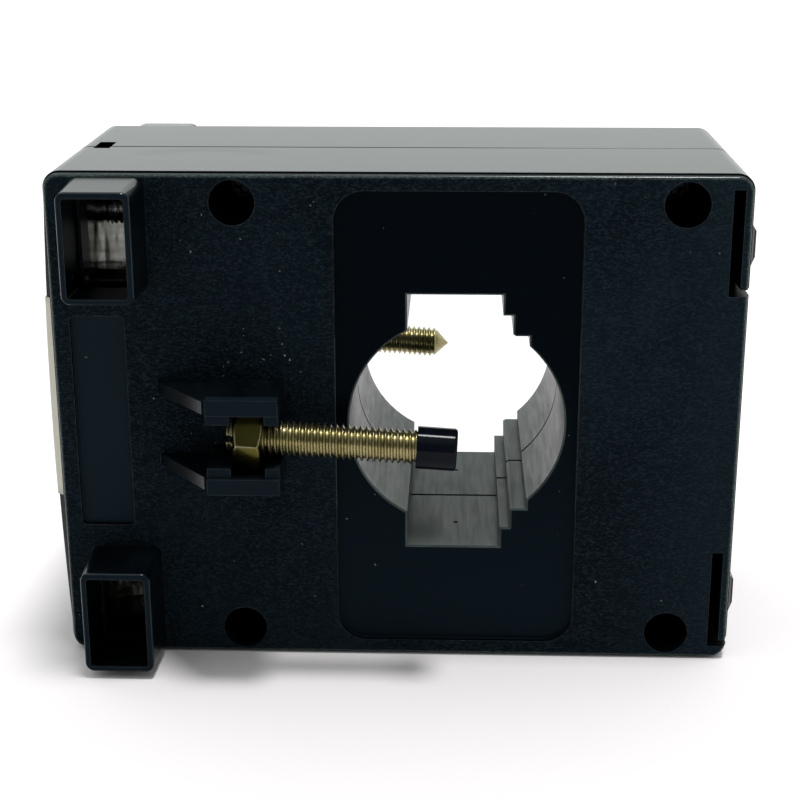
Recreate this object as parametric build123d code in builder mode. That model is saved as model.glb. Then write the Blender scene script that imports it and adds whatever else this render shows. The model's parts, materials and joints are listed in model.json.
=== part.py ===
"""Window-type current transformer with busbar clamp screws, in millimetres.

It stands on its long side: +Z up, the front face towards -Y, the terminals towards -X.
The origin is on the axis of the window, half way through the case.
"""
import math
import os

from build123d import *

# Case: distances from the window axis, overall height and depth
body_left = 47.0
body_right = 33.0
body_height = 59.2
body_depth = 35.0
corner_radius = 2.0
wall = 2.0
face_wall = 2.2
lip_depth = 1.0
lip_inset = 0.2
lip_round = 0.5
seam_groove = 0.25
ring_side_room = 3.4
embed = 0.5

half_depth = body_depth / 2
half_height = body_height / 2
body_width = body_left + body_right
body_mid_x = (body_right - body_left) / 2
cavity_depth = half_depth - face_wall
cavity_half_height = half_height - wall
ring_reach = min(half_height, body_right - ring_side_room)

# Window: cable circle, and three bar slots that share their left edge
window_radius = 12.6
slot_left = 5.8
tall_bar_right = 5.24
middle_bar_right = 6.42
short_bar_right = 8.34
bar_end_room = 14.1
middle_bar_step = 2.43
short_bar_step = 4.87
tube_wall = 1.6
mouth_chamfer = 0.2
pip_radius = 0.3
pip_depth = 0.4
pip_setback = 8.3

tall_bar_half_height = ring_reach - bar_end_room
bar_slots = (
    (tall_bar_right, tall_bar_half_height),
    (middle_bar_right, tall_bar_half_height - middle_bar_step),
    (short_bar_right, tall_bar_half_height - short_bar_step),
)

# Recesses in the face
panel_side_margin = 1.55
panel_end_margin = 2.0
panel_radius = 3.5
panel_depth = 0.8
tag_recess_width = 6.3
tag_recess_height = 25.8
tag_recess_inset = 2.3
tag_recess_depth = 0.6
tag_recess_radius = 0.5

panel_width = 2 * (window_radius + panel_side_margin)
panel_height = body_height - 2 * panel_end_margin
tag_recess_x = -body_left + tag_recess_inset + tag_recess_width / 2

# Bowed pad on the terminal side, sloped off towards the faces, and the bare label wrapped over it
pad_end_margin = 2.6
pad_rise = 0.8
pad_setback = 1.2
pad_slope_run = 0.6
label_low = -9.6
label_high = 14.8
label_foot = 0.05
label_thickness = 0.15

pad_half_height = half_height - pad_end_margin
pad_arc_radius = (pad_half_height**2 + pad_rise**2) / (2 * pad_rise)
pad_centre_x = pad_arc_radius - body_left - pad_rise
pad_end = half_depth - pad_setback

# Case screws, sunk in the front shell
case_screw_x = 25.5
case_screw_inset = 3.4
case_screw_radius = 1.45
case_head_radius = 2.4
case_head_height = 2.2
case_head_clearance = 0.2
case_boss_wall = 1.6
case_seat = 4.0
case_pilot_clearance = 0.05
case_rear_hole_depth = 6.0
case_rear_web = 2.5

case_screw_z = half_height - case_screw_inset
case_hole_radius = case_head_radius + case_head_clearance
case_screw_reach = half_depth - case_rear_hole_depth - case_rear_web

# Latch tongues on the right edge
tongue_thickness = 1.15
tongue_slot = 1.3
tongue_inner_wall = 1.35
tongue_end_margin = 1.7
tongue_length = 12.2
tongue_depth = 9.0
tongue_free_cut = 0.8
nub_rise = 0.6
nub_offset = 3.3
nub_length = 4.8
nub_setback = 1.1
nub_depth = 4.2
nub_ramp = 0.9

tongue_high = half_height - tongue_end_margin
tongue_low = tongue_high - tongue_length
tongue_slot_right = body_right - tongue_thickness
tongue_slot_left = tongue_slot_right - tongue_slot
latch_wall_x = tongue_slot_left - tongue_inner_wall
nub_z = tongue_low + nub_offset + nub_length / 2
nub_y = -half_depth + nub_setback + nub_depth / 2
nub_taper = math.degrees(math.atan2(nub_ramp, nub_rise))

# Snap windows in the seam of the long sides
snap_inset = 2.6
snap_width = 2.0
snap_depth = 1.4
snap_short = 1.3
snap_long = 3.3

snap_x = -body_left + snap_inset + snap_width / 2

# Terminal hoods
hood_inset = 3.3
hood_end_margin = 0.9
hood_width = 8.2
hood_tall = 12.6
hood_height = 7.5
hood_wall = 0.7
hood_radius = 1.1
hood_rim_round = 0.4
hood_side_draft = 0.2
hood_end_draft = 0.4
entry_margin = 1.0
entry_radius = 0.6

hood_x = -body_left + hood_inset + hood_width / 2
hood_z = half_height - hood_end_margin - hood_tall / 2
entry_width = hood_width - 2 * entry_margin
entry_tall = hood_tall - 2 * entry_margin

# Terminals: plated box, screw along X, pressure plate on its tip
terminal_left_wall = 1.4
terminal_wall = 0.8
terminal_cell_x = 5.4
terminal_cell_z = 9.0
terminal_clearance = 0.2
terminal_screw_radius = 2.0
terminal_thread_clearance = 0.05
terminal_head_radius = 3.1
terminal_head_height = 2.2
terminal_head_gap = 0.6
terminal_slot_width = 0.9
terminal_slot_depth = 1.2
access_clearance = 0.3
plate_thickness = 0.8
plate_width = 6.0
plate_end_room = 0.7
plate_gap = 0.6
spigot_radius = 1.2
spigot_clearance = 0.05
pocket_floor = 3.6
pocket_rib = 1.2

pocket_depth = half_depth - pocket_floor
terminal_half_length = pocket_depth - terminal_clearance
cell_left = hood_x - entry_width / 2
cell_right = cell_left + terminal_cell_x
terminal_left = cell_left - terminal_left_wall
terminal_right = cell_right + terminal_wall
terminal_outer_z = terminal_cell_z + 2 * terminal_wall
terminal_z = cavity_half_height - terminal_clearance - terminal_outer_z / 2
pocket_left = terminal_left - terminal_clearance
pocket_right = terminal_right + terminal_clearance
pocket_low = terminal_z - terminal_outer_z / 2 - terminal_clearance
access_radius = terminal_head_radius + access_clearance
plate_height = terminal_cell_z - 2 * plate_end_room
plate_right = cell_right - plate_gap
plate_left = plate_right - plate_thickness
head_under = terminal_left - terminal_head_gap

# Clamp screws, nuts and cap, on axes that droop towards the window
screw_droop = 3.6
screw_radius = 2.0
screw_behind_nut = 1.0
screw_length = 25.0
screw_chamfer = 0.4
screw_slot_width = 0.8
screw_slot_depth = 1.4
nut_x = -23.6
nut_z = 0.1
nut_across_flats = 7.0
nut_thickness = 3.2
nut_thread_clearance = 0.05
nut_face_ratio = 0.95
nut_chamfer_angle = 30.0
nut_face_room = 0.36
cap_wall = 0.42
cap_length = 4.6
cap_cover = 3.3
cap_clearance = 0.03
cap_round = 0.35

nut_corner_radius = nut_across_flats / 2 / math.cos(math.pi / 6)
nut_face_radius = nut_across_flats / 2 * nut_face_ratio
nut_chamfer = (nut_corner_radius - nut_face_radius) * math.tan(math.radians(nut_chamfer_angle))
axis_height = nut_corner_radius + nut_face_room
axis_y = half_depth + axis_height
screw_left = -nut_thickness / 2 - screw_behind_nut
screw_tip = screw_left + screw_length
droop = math.radians(screw_droop)
screw_along = (math.cos(droop), 0, -math.sin(droop))

# Nut holders: two walls with tabs before and behind the nut, and a ramp to each wall
nut_play = 0.5
nut_room_left = 0.25
nut_room_right = 0.45
tab_left_length = 2.7
tab_right_length = 1.6
tab_screw_room = 0.6
tab_drop = 0.4
holder_wall = 1.9
holder_margin = 0.16
gusset_wall = 1.5
gusset_length = 6.75
gusset_drop = 0.7
notch_width = 0.4
notch_depth = 0.9

holder_half_gap = (nut_across_flats + nut_play) / 2
holder_height = axis_height + nut_corner_radius + holder_margin
tab_inner_z = screw_radius + tab_screw_room
tab_height = holder_height - tab_drop
tab_left_end = nut_x - nut_thickness / 2 - nut_room_left
tab_right_start = nut_x + nut_thickness / 2 + nut_room_right
holder_left = tab_left_end - tab_left_length
holder_right = tab_right_start + tab_right_length
gusset_height = holder_height - gusset_drop
gusset_start = holder_left - gusset_length

# Core and winding: they fill the room between window tube, case walls and seat ribs
core_cap_wall = 0.6
winding_wall = 1.2
tape_wall = 0.3
layer_gap = 0.03
winding_arc = 340.0
core_tube_gap = 0.25
core_case_gap = 0.6
core_seat_gap = 0.1
core_rib = 0.8
core_rib_width = 3.0
lead_radius = 0.7
lead_hole_clearance = 0.25
lead_offset = 3.1
lead_straight = 5.0
lead_angle = 31.0
lead_bite = 0.4
lead_bend_radius = 3.0

cap_shell = core_cap_wall + layer_gap
winding_shell = cap_shell + layer_gap + winding_wall
tape_shell = winding_shell + layer_gap + tape_wall
slot_corners = [
    math.hypot(max(right, slot_left) + tube_wall, half_tall + tube_wall) for right, half_tall in bar_slots
]
tube_reach = max(window_radius + tube_wall, *slot_corners)
core_inner_radius = tube_reach + core_tube_gap + tape_shell
core_outer_radius = ring_reach - wall - core_case_gap - tape_shell
core_mid_radius = (core_inner_radius + core_outer_radius) / 2
core_seat = cavity_depth - core_rib
core_height = 2 * (core_seat - core_seat_gap - tape_shell)
lead_z = terminal_z - lead_offset
lead_end_radius = core_outer_radius + winding_shell - lead_bite
lead_cos = math.cos(math.radians(lead_angle))
lead_sin = math.sin(math.radians(lead_angle))

os.makedirs("parts", exist_ok=True)


def window_profile(grow=0.0, mode=Mode.ADD):
    """Cable circle and bar steps of the window, grown by a wall around them."""
    Circle(window_radius + grow, mode=mode)
    for right, half_tall in bar_slots:
        with Locations(((right - slot_left) / 2, 0)):
            Rectangle(right + slot_left + 2 * grow, 2 * (half_tall + grow), mode=mode)


def case_screw_points():
    """The four case screws, seen on the face."""
    return GridLocations(2 * case_screw_x, 2 * case_screw_z, 2, 2)


def rectangle_between(left, right, low, high, mode=Mode.ADD):
    """Rectangle given by its four sides."""
    with Locations(((left + right) / 2, (low + high) / 2)):
        Rectangle(right - left, high - low, mode=mode)


def label_pad(lift=0.0):
    """Front half of the bowed pad, from the seam to its sloped end, lifted all over."""
    outward = Vector(-pad_slope_run, -pad_rise, 0).normalized()
    slope = Plane(origin=Vector(-body_left, -pad_end, 0) + outward * lift, z_dir=outward)
    with BuildPart() as pad:
        with BuildSketch(Plane.XZ):
            with Locations((pad_centre_x, 0)):
                Circle(pad_arc_radius + lift)
            with Locations((-body_left, 0)):
                Rectangle(2 * embed + 2 * pad_rise, 2 * pad_half_height, mode=Mode.INTERSECT)
        extrude(amount=half_depth)
        split(bisect_by=slope, keep=Keep.BOTTOM)
    return pad.part


def half_shell():
    """One moulded half from the seam to its face, as the front half stands."""
    with BuildPart() as shell:
        # Body, and the lip set in a little at the face
        with BuildSketch(Plane.XZ):
            with Locations((body_mid_x, 0)):
                RectangleRounded(body_width, body_height, corner_radius)
        extrude(amount=half_depth - lip_depth)
        chamfer(shell.faces().sort_by(Axis.Y)[-1].edges(), seam_groove)
        with BuildSketch(Plane.XZ.offset(half_depth - lip_depth)):
            with Locations((body_mid_x, 0)):
                RectangleRounded(
                    body_width - 2 * lip_inset, body_height - 2 * lip_inset, corner_radius - lip_inset
                )
        extrude(amount=lip_depth)
        fillet(shell.faces().sort_by(Axis.Y)[0].edges(), lip_round)

        # Bowed pad for the label
        add(label_pad())

        # Terminal hoods, tapering to the rim
        for side in (1, -1):
            with BuildSketch(Plane.XZ.offset(half_depth - lip_depth)):
                with Locations((hood_x, side * hood_z)):
                    RectangleRounded(
                        hood_width + 2 * hood_side_draft, hood_tall + 2 * hood_end_draft, hood_radius
                    )
            with BuildSketch(Plane.XZ.offset(half_depth + hood_height)):
                with Locations((hood_x, side * hood_z)):
                    RectangleRounded(hood_width, hood_tall, hood_radius)
            loft()
        for rim in shell.faces().sort_by(Axis.Y)[0:2]:
            fillet(rim.edges(), hood_rim_round)

        # Nut holder: two walls with tabs, each with a ramp
        for side in (1, -1):
            low, high = sorted((side * holder_half_gap, side * (holder_half_gap + holder_wall)))
            tab_low, tab_high = sorted((side * tab_inner_z, side * (holder_half_gap + embed)))
            with BuildSketch(Plane.XZ.offset(half_depth - embed)):
                rectangle_between(holder_left, holder_right, low, high)
            extrude(amount=holder_height + embed)
            with BuildSketch(Plane.XZ.offset(half_depth - embed)):
                rectangle_between(holder_left, tab_left_end, tab_low, tab_high)
                rectangle_between(tab_right_start, holder_right, tab_low, tab_high)
            extrude(amount=tab_height + embed)
            notch_left = holder_left - notch_width
            ramp_top = -half_depth - gusset_height
            ramp_low = min(side * holder_half_gap, side * (holder_half_gap + gusset_wall))
            with BuildSketch(Plane.XY.offset(ramp_low)):
                with BuildLine():
                    Polyline(
                        (gusset_start, -half_depth + embed),
                        (gusset_start, -half_depth),
                        (notch_left, ramp_top),
                        (notch_left, ramp_top + notch_depth),
                        (holder_left + embed, ramp_top + notch_depth),
                        (holder_left + embed, -half_depth + embed),
                        close=True,
                    )
                make_face()
            extrude(amount=gusset_wall)

        # Latch nubs on the right edge, ramped on all sides
        with BuildSketch(Plane.YZ.offset(body_right)):
            with Locations((nub_y, nub_z), (nub_y, -nub_z)):
                Rectangle(nub_depth, nub_length)
        extrude(amount=nub_rise, taper=nub_taper)

        # Recesses of the face
        with BuildSketch(Plane.XZ.offset(half_depth)):
            RectangleRounded(panel_width, panel_height, panel_radius)
        extrude(amount=-panel_depth, mode=Mode.SUBTRACT)
        with BuildSketch(Plane.XZ.offset(half_depth)):
            with Locations((tag_recess_x, 0)):
                RectangleRounded(tag_recess_width, tag_recess_height, tag_recess_radius)
        extrude(amount=-tag_recess_depth, mode=Mode.SUBTRACT)

        # Inside of the shell, leaving window tube, screw bosses and terminal pockets
        with BuildSketch(Plane.XZ):
            rectangle_between(-body_left + wall, latch_wall_x, -cavity_half_height, cavity_half_height)
            rectangle_between(latch_wall_x - embed, body_right - wall, -tongue_low + wall, tongue_low - wall)
            for side in (1, -1):
                low, high = sorted((side * (pocket_low - pocket_rib), side * half_height))
                rectangle_between(-body_left, pocket_right + pocket_rib, low, high, Mode.SUBTRACT)
            with case_screw_points():
                Circle(case_hole_radius + case_boss_wall, mode=Mode.SUBTRACT)
            window_profile(tube_wall, Mode.SUBTRACT)
        extrude(amount=cavity_depth, mode=Mode.SUBTRACT)
        with BuildSketch(Plane.XZ.offset(core_seat)):
            Circle(core_mid_radius + core_rib_width / 2)
            Circle(core_mid_radius - core_rib_width / 2, mode=Mode.SUBTRACT)
        extrude(amount=core_rib + embed)

        # Window, with a fine groove at the seam and a chamfered mouth
        with BuildSketch(Plane.XZ):
            window_profile()
        extrude(amount=half_depth, mode=Mode.SUBTRACT)
        with BuildSketch(Plane.XZ):
            window_profile(seam_groove)
        extrude(amount=seam_groove, mode=Mode.SUBTRACT)
        panel_floor = shell.faces().filter_by(Plane.XZ).sort_by_distance((0, panel_depth - half_depth, 0))[0]
        chamfer(panel_floor.inner_wires()[0].edges(), mouth_chamfer)
        for side in (1, -1):
            with BuildSketch(Plane.XY.offset(side * tall_bar_half_height)):
                with Locations((0, pip_setback - half_depth)):
                    Circle(pip_radius)
            extrude(amount=side * pip_depth, mode=Mode.SUBTRACT)

        # Terminal pockets, wire entries, screw access and lead holes
        for side in (1, -1):
            low, high = sorted((side * pocket_low, side * cavity_half_height))
            with BuildSketch(Plane.XZ):
                rectangle_between(pocket_left, pocket_right, low, high)
            extrude(amount=pocket_depth, mode=Mode.SUBTRACT)
            with BuildSketch(Plane.XZ.offset(pocket_depth)):
                with Locations((hood_x, side * hood_z)):
                    RectangleRounded(entry_width, entry_tall, entry_radius)
            extrude(amount=half_depth + hood_height - pocket_depth, mode=Mode.SUBTRACT)
            with BuildSketch(Plane.XZ.offset(half_depth)):
                with Locations((hood_x, side * hood_z)):
                    RectangleRounded(
                        hood_width - 2 * hood_wall, hood_tall - 2 * hood_wall, hood_radius - hood_wall
                    )
            extrude(amount=hood_height, mode=Mode.SUBTRACT)
            with BuildSketch(Plane.YZ.offset(pocket_left + embed)):
                with Locations((0, side * terminal_z)):
                    Circle(access_radius)
            extrude(amount=pocket_left - embed - body_left, mode=Mode.SUBTRACT)
            with BuildSketch(Plane.YZ.offset(pocket_right - embed)):
                with Locations((0, side * lead_z)):
                    Circle(lead_radius + lead_hole_clearance)
            extrude(amount=pocket_rib + 2 * embed, mode=Mode.SUBTRACT)

        # Latch slots, each open to the right edge at its lower end
        for low, high in ((tongue_low, tongue_high), (-tongue_high, -tongue_low)):
            with BuildSketch(Plane.XZ.offset(half_depth)):
                rectangle_between(tongue_slot_left, tongue_slot_right, low, high)
                rectangle_between(tongue_slot_left, body_right + nub_rise, low, low + tongue_free_cut)
            extrude(amount=-tongue_depth, mode=Mode.SUBTRACT)

        # Snap windows across the seam
        for side, reach in ((1, snap_short), (-1, snap_long)):
            with BuildSketch(Plane.XY.offset(side * half_height)):
                with Locations((snap_x, -reach / 2)):
                    Rectangle(snap_width, reach)
            extrude(amount=-side * snap_depth, mode=Mode.SUBTRACT)
    return shell.part


moulding = half_shell()

# Front shell, with deep holes for the case screws
with BuildPart() as front_housing:
    add(moulding)
    with BuildSketch(Plane.XZ.offset(case_seat)):
        with case_screw_points():
            Circle(case_hole_radius)
    extrude(amount=half_depth - case_seat, mode=Mode.SUBTRACT)
    with BuildSketch(Plane.XZ):
        with case_screw_points():
            Circle(case_screw_radius + case_pilot_clearance)
    extrude(amount=case_seat, mode=Mode.SUBTRACT)
front_housing.part.label = "front_housing"
export_step(front_housing.part, "parts/front_housing.step")

# Rear shell, the same moulding with pilot holes, turned over when finished
with BuildPart() as rear_housing:
    add(moulding)
    with BuildSketch(Plane.XZ.offset(half_depth)):
        with case_screw_points():
            Circle(case_hole_radius)
    extrude(amount=-case_rear_hole_depth, mode=Mode.SUBTRACT)
    with BuildSketch(Plane.XZ):
        with case_screw_points():
            Circle(case_screw_radius + case_pilot_clearance)
    extrude(amount=case_screw_reach + embed, mode=Mode.SUBTRACT)
rear_turned = rear_housing.part.rotate(Axis.X, 180)
rear_turned.label = "rear_housing"
export_step(rear_turned, "parts/rear_housing.step")

# Case screws, heads sunk in the front holes
with BuildPart() as case_screws:
    with BuildSketch(Plane.XZ.offset(case_seat)):
        with case_screw_points():
            Circle(case_head_radius)
    extrude(amount=case_head_height)
    with BuildSketch(Plane.XZ.offset(case_seat)):
        with case_screw_points():
            Circle(case_screw_radius)
    extrude(amount=-case_seat - case_screw_reach)
case_screws.part.label = "case_screws"
export_step(case_screws.part, "parts/case_screws.step")


# Bare label over the pad, from slope to slope across the seam
with BuildPart() as rating_label:
    add(label_pad(label_thickness))
    add(label_pad(), mode=Mode.SUBTRACT)
    with Locations((-body_left - label_foot, 0, (label_low + label_high) / 2)):
        Box(
            pad_rise + label_thickness,
            body_depth,
            label_high - label_low,
            align=(Align.MAX, Align.CENTER, Align.CENTER),
            mode=Mode.INTERSECT,
        )
    mirror(about=Plane.XZ)
rating_label.part.label = "rating_label"
export_step(rating_label.part, "parts/rating_label.step")

# Clamp nuts and screws, front and rear, and the one cap that is left
for place, side in (("front", -1), ("rear", 1)):
    nut_centre = (nut_x, side * axis_y, nut_z)
    screw_axis = Axis(nut_centre, screw_along)
    lengthwise = Plane(nut_centre, x_dir=screw_along, z_dir=(0, -1, 0))
    crosswise = Plane(nut_centre, x_dir=(0, 1, 0), z_dir=screw_along)

    with BuildPart() as clamp_nut:
        with BuildSketch(crosswise):
            RegularPolygon(nut_across_flats / 2, 6, major_radius=False)
            Circle(screw_radius + nut_thread_clearance, mode=Mode.SUBTRACT)
        extrude(amount=nut_thickness / 2, both=True)
        with BuildSketch(lengthwise):
            with BuildLine():
                Polyline(
                    (-nut_thickness / 2, 0),
                    (-nut_thickness / 2, nut_face_radius),
                    (-nut_thickness / 2 + nut_chamfer, nut_corner_radius),
                    (nut_thickness / 2 - nut_chamfer, nut_corner_radius),
                    (nut_thickness / 2, nut_face_radius),
                    (nut_thickness / 2, 0),
                    close=True,
                )
            make_face()
        revolve(axis=screw_axis, mode=Mode.INTERSECT)
    clamp_nut.part.label = f"{place}_clamp_nut"
    export_step(clamp_nut.part, f"parts/{place}_clamp_nut.step")

    with BuildPart() as clamp_screw:
        with BuildSketch(lengthwise):
            with BuildLine():
                Polyline(
                    (screw_left, 0),
                    (screw_left, screw_radius - screw_chamfer),
                    (screw_left + screw_chamfer, screw_radius),
                    (screw_tip - screw_radius, screw_radius),
                    (screw_tip, 0),
                    close=True,
                )
            make_face()
        revolve(axis=screw_axis)
        with BuildSketch(crosswise.offset(screw_left)):
            Rectangle(2 * screw_radius, screw_slot_width)
        extrude(amount=screw_slot_depth, mode=Mode.SUBTRACT)
    clamp_screw.part.label = f"{place}_clamp_screw"
    export_step(clamp_screw.part, f"parts/{place}_clamp_screw.step")

    if place == "front":
        cap_bore = screw_radius + cap_clearance
        cap_bottom = screw_tip + cap_clearance
        cap_left = screw_tip - cap_cover
        cap_right = cap_left + cap_length
        with BuildPart() as screw_cap:
            with BuildSketch(lengthwise):
                with BuildLine():
                    Polyline(
                        (cap_left, cap_bore),
                        (cap_left, cap_bore + cap_wall),
                        (cap_right, cap_bore + cap_wall),
                        (cap_right, 0),
                        (cap_bottom, 0),
                        (cap_bottom, cap_bore),
                        close=True,
                    )
                make_face()
            revolve(axis=screw_axis)
            end_edge = screw_cap.edges().filter_by(GeomType.CIRCLE).sort_by(screw_axis)[-1]
            fillet(end_edge, cap_round)
        screw_cap.part.label = "front_screw_cap"
        export_step(screw_cap.part, "parts/front_screw_cap.step")

# Terminals, above and below, and the lead to each
for place, side in (("upper", 1), ("lower", -1)):
    centre_z = side * terminal_z

    with BuildPart() as terminal_body:
        with BuildSketch(Plane.XZ):
            with Locations(((terminal_left + terminal_right) / 2, centre_z)):
                Rectangle(terminal_right - terminal_left, terminal_outer_z)
            with Locations(((cell_left + cell_right) / 2, centre_z)):
                Rectangle(terminal_cell_x, terminal_cell_z, mode=Mode.SUBTRACT)
        extrude(amount=terminal_half_length, both=True)
        with BuildSketch(Plane.YZ.offset(terminal_left)):
            with Locations((0, centre_z)):
                Circle(terminal_screw_radius + terminal_thread_clearance)
        extrude(amount=terminal_left_wall, mode=Mode.SUBTRACT)
    terminal_body.part.label = f"{place}_terminal_body"
    export_step(terminal_body.part, f"parts/{place}_terminal_body.step")

    with BuildPart() as terminal_screw:
        with BuildSketch(Plane.YZ.offset(head_under - terminal_head_height)):
            with Locations((0, centre_z)):
                Circle(terminal_head_radius)
        extrude(amount=terminal_head_height)
        with BuildSketch(Plane.YZ.offset(head_under)):
            with Locations((0, centre_z)):
                Circle(terminal_screw_radius)
        extrude(amount=plate_left - head_under)
        with BuildSketch(Plane.YZ.offset(plate_left)):
            with Locations((0, centre_z)):
                Circle(spigot_radius)
        extrude(amount=plate_thickness)
        with BuildSketch(Plane.YZ.offset(head_under - terminal_head_height)):
            with Locations((0, centre_z)):
                Rectangle(2 * terminal_head_radius, terminal_slot_width)
        extrude(amount=terminal_slot_depth, mode=Mode.SUBTRACT)
    terminal_screw.part.label = f"{place}_terminal_screw"
    export_step(terminal_screw.part, f"parts/{place}_terminal_screw.step")

    with BuildPart() as pressure_plate:
        with BuildSketch(Plane.YZ.offset(plate_left)):
            with Locations((0, centre_z)):
                Rectangle(plate_width, plate_height)
                Circle(spigot_radius + spigot_clearance, mode=Mode.SUBTRACT)
        extrude(amount=plate_thickness)
    pressure_plate.part.label = f"{place}_pressure_plate"
    export_step(pressure_plate.part, f"parts/{place}_pressure_plate.step")

    with BuildPart() as lead:
        with BuildLine() as lead_path:
            FilletPolyline(
                (terminal_right, 0, side * lead_z),
                (terminal_right + lead_straight, 0, side * lead_z),
                (-lead_end_radius * lead_cos, 0, side * lead_end_radius * lead_sin),
                radius=lead_bend_radius,
            )
        with BuildSketch(Plane.YZ.offset(terminal_right)):
            with Locations((0, side * lead_z)):
                Circle(lead_radius)
        sweep(path=lead_path.line)
    lead.part.label = f"{place}_lead"
    export_step(lead.part, f"parts/{place}_lead.step")


def ring_section(grow, shell=0.0):
    """Half section of the core, grown by a layer, or the shell of that thickness around it."""
    width = core_outer_radius - core_inner_radius
    with Locations((core_mid_radius, 0)):
        Rectangle(width + 2 * grow, core_height + 2 * grow)
        if shell:
            inner = grow - shell
            Rectangle(width + 2 * inner, core_height + 2 * inner, mode=Mode.SUBTRACT)


# Ring core, wound from strip
with BuildPart() as ring_core:
    with BuildSketch(Plane.XY):
        ring_section(0)
    revolve(axis=Axis.Y)
ring_core.part.label = "ring_core"
export_step(ring_core.part, "parts/ring_core.step")

# Insulating channel halves over the core
for place, side in (("front", -1), ("rear", 1)):
    with BuildPart() as core_cap:
        with BuildSketch(Plane.XY):
            ring_section(cap_shell, core_cap_wall)
            with Locations((0, -side * body_depth / 2)):
                Rectangle(2 * body_width, body_depth + layer_gap, mode=Mode.SUBTRACT)
        revolve(axis=Axis.Y)
    core_cap.part.label = f"core_cap_{place}"
    export_step(core_cap.part, f"parts/core_cap_{place}.step")

# Secondary winding, with a gap between its first and last turn on the side away from the leads
with BuildPart() as secondary_winding:
    with BuildSketch(Plane.XY):
        ring_section(winding_shell, winding_wall)
    revolve(axis=Axis.Y, revolution_arc=winding_arc)
secondary_winding.part.label = "secondary_winding"
export_step(secondary_winding.part, "parts/secondary_winding.step")

# Outer tape
with BuildPart() as winding_tape:
    with BuildSketch(Plane.XY):
        ring_section(tape_shell, tape_wall)
    revolve(axis=Axis.Y)
winding_tape.part.label = "winding_tape"
export_step(winding_tape.part, "parts/winding_tape.step")
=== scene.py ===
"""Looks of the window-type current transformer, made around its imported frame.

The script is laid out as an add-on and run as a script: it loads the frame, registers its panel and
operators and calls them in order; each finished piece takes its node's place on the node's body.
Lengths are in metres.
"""
import json
import math
from functools import reduce

import bpy
from bpy.props import FloatProperty, FloatVectorProperty, IntProperty, PointerProperty
from mathutils import Matrix, Vector


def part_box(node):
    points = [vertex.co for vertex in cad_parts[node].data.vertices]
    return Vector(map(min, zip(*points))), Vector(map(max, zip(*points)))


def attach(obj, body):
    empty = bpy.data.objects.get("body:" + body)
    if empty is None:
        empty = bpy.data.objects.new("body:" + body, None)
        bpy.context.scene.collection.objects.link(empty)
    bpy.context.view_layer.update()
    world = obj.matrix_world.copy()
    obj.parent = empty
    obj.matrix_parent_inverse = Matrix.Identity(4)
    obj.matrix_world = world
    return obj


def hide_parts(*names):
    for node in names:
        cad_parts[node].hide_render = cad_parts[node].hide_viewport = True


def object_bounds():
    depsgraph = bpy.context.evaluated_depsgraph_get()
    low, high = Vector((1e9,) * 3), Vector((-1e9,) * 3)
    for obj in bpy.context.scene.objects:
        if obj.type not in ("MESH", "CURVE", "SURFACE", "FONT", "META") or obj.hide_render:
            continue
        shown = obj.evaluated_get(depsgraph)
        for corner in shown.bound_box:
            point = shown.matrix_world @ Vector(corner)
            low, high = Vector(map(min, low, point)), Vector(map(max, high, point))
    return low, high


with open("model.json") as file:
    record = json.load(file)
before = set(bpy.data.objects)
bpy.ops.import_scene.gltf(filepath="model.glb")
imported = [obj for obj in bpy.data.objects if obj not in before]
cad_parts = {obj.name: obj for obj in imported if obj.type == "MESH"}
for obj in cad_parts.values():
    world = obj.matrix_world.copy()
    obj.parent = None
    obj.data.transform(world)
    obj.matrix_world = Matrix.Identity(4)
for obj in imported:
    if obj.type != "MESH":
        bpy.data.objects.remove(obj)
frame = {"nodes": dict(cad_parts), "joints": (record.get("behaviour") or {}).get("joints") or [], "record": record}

bl_info = {
    "name": "Current transformer looks",
    "version": (1, 0, 0),
    "blender": (4, 5, 0),
    "location": "3D View > Sidebar > Transformer",
    "description": "Finishes, threads and stage of a window-type current transformer",
    "category": "Object",
}

CAD_BOX = [list(corner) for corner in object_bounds()]
RECORD = frame["record"]
BODY_OF = {node: body for body, nodes in RECORD["behaviour"]["bodies"].items() for node in nodes}
RATIO_OF = {row["joint"]: row["ratio"] for row in RECORD["behaviour"]["couplings"]}
JOINTS = {joint["name"]: joint for joint in frame["joints"]}
MILLIMETRE = 0.001


def node_points(name):
    """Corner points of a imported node, in the shared frame."""
    return [vertex.co.copy() for vertex in frame["nodes"][name].data.vertices]


def node_centre(name):
    """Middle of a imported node's box."""
    low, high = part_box(name)
    return (low + high) / 2


def reach_along(name, origin, direction):
    """Lowest and highest place of a node along a line, and its widest radius around it."""
    offsets = [point - origin for point in node_points(name)]
    places = [offset.dot(direction) for offset in offsets]
    radii = [(offset - direction * place).length for offset, place in zip(offsets, places)]
    return min(places), max(places), max(radii)


# Places on the case, read from the front shell
HOOD_LEAST_RISE = 7 * MILLIMETRE
NUB_RISE = 0.6 * MILLIMETRE
RECESS_DEPTH = 0.7 * MILLIMETRE
SHELL_LOW, SHELL_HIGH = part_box("front_housing")
SHELL_POINTS = node_points("front_housing")
FACE_Y = -min(point.y for point in SHELL_POINTS if point.x > 0)
HOODS_LEFT_OF = -2 * FACE_Y
RIM_POINTS = [
    point for point in SHELL_POINTS if point.x < HOODS_LEFT_OF and point.y < -FACE_Y - HOOD_LEAST_RISE
]
RIM_Y = -min(point.y for point in RIM_POINTS)
RIM_SPAN_X = (min(point.x for point in RIM_POINTS), max(point.x for point in RIM_POINTS))
RIM_SPAN_Z = (
    min(point.z for point in RIM_POINTS if point.z > 0),
    max(point.z for point in RIM_POINTS if point.z > 0),
)
RIGHT_SIDE = SHELL_HIGH.x - NUB_RISE
WINDOW_RADIUS = RECORD["mounts"][0]["dims"]["r_mm"] * MILLIMETRE
SLOT_CORNER_SHARE = 1.4
WINDOW_REACH = WINDOW_RADIUS * SLOT_CORNER_SHARE
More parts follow.
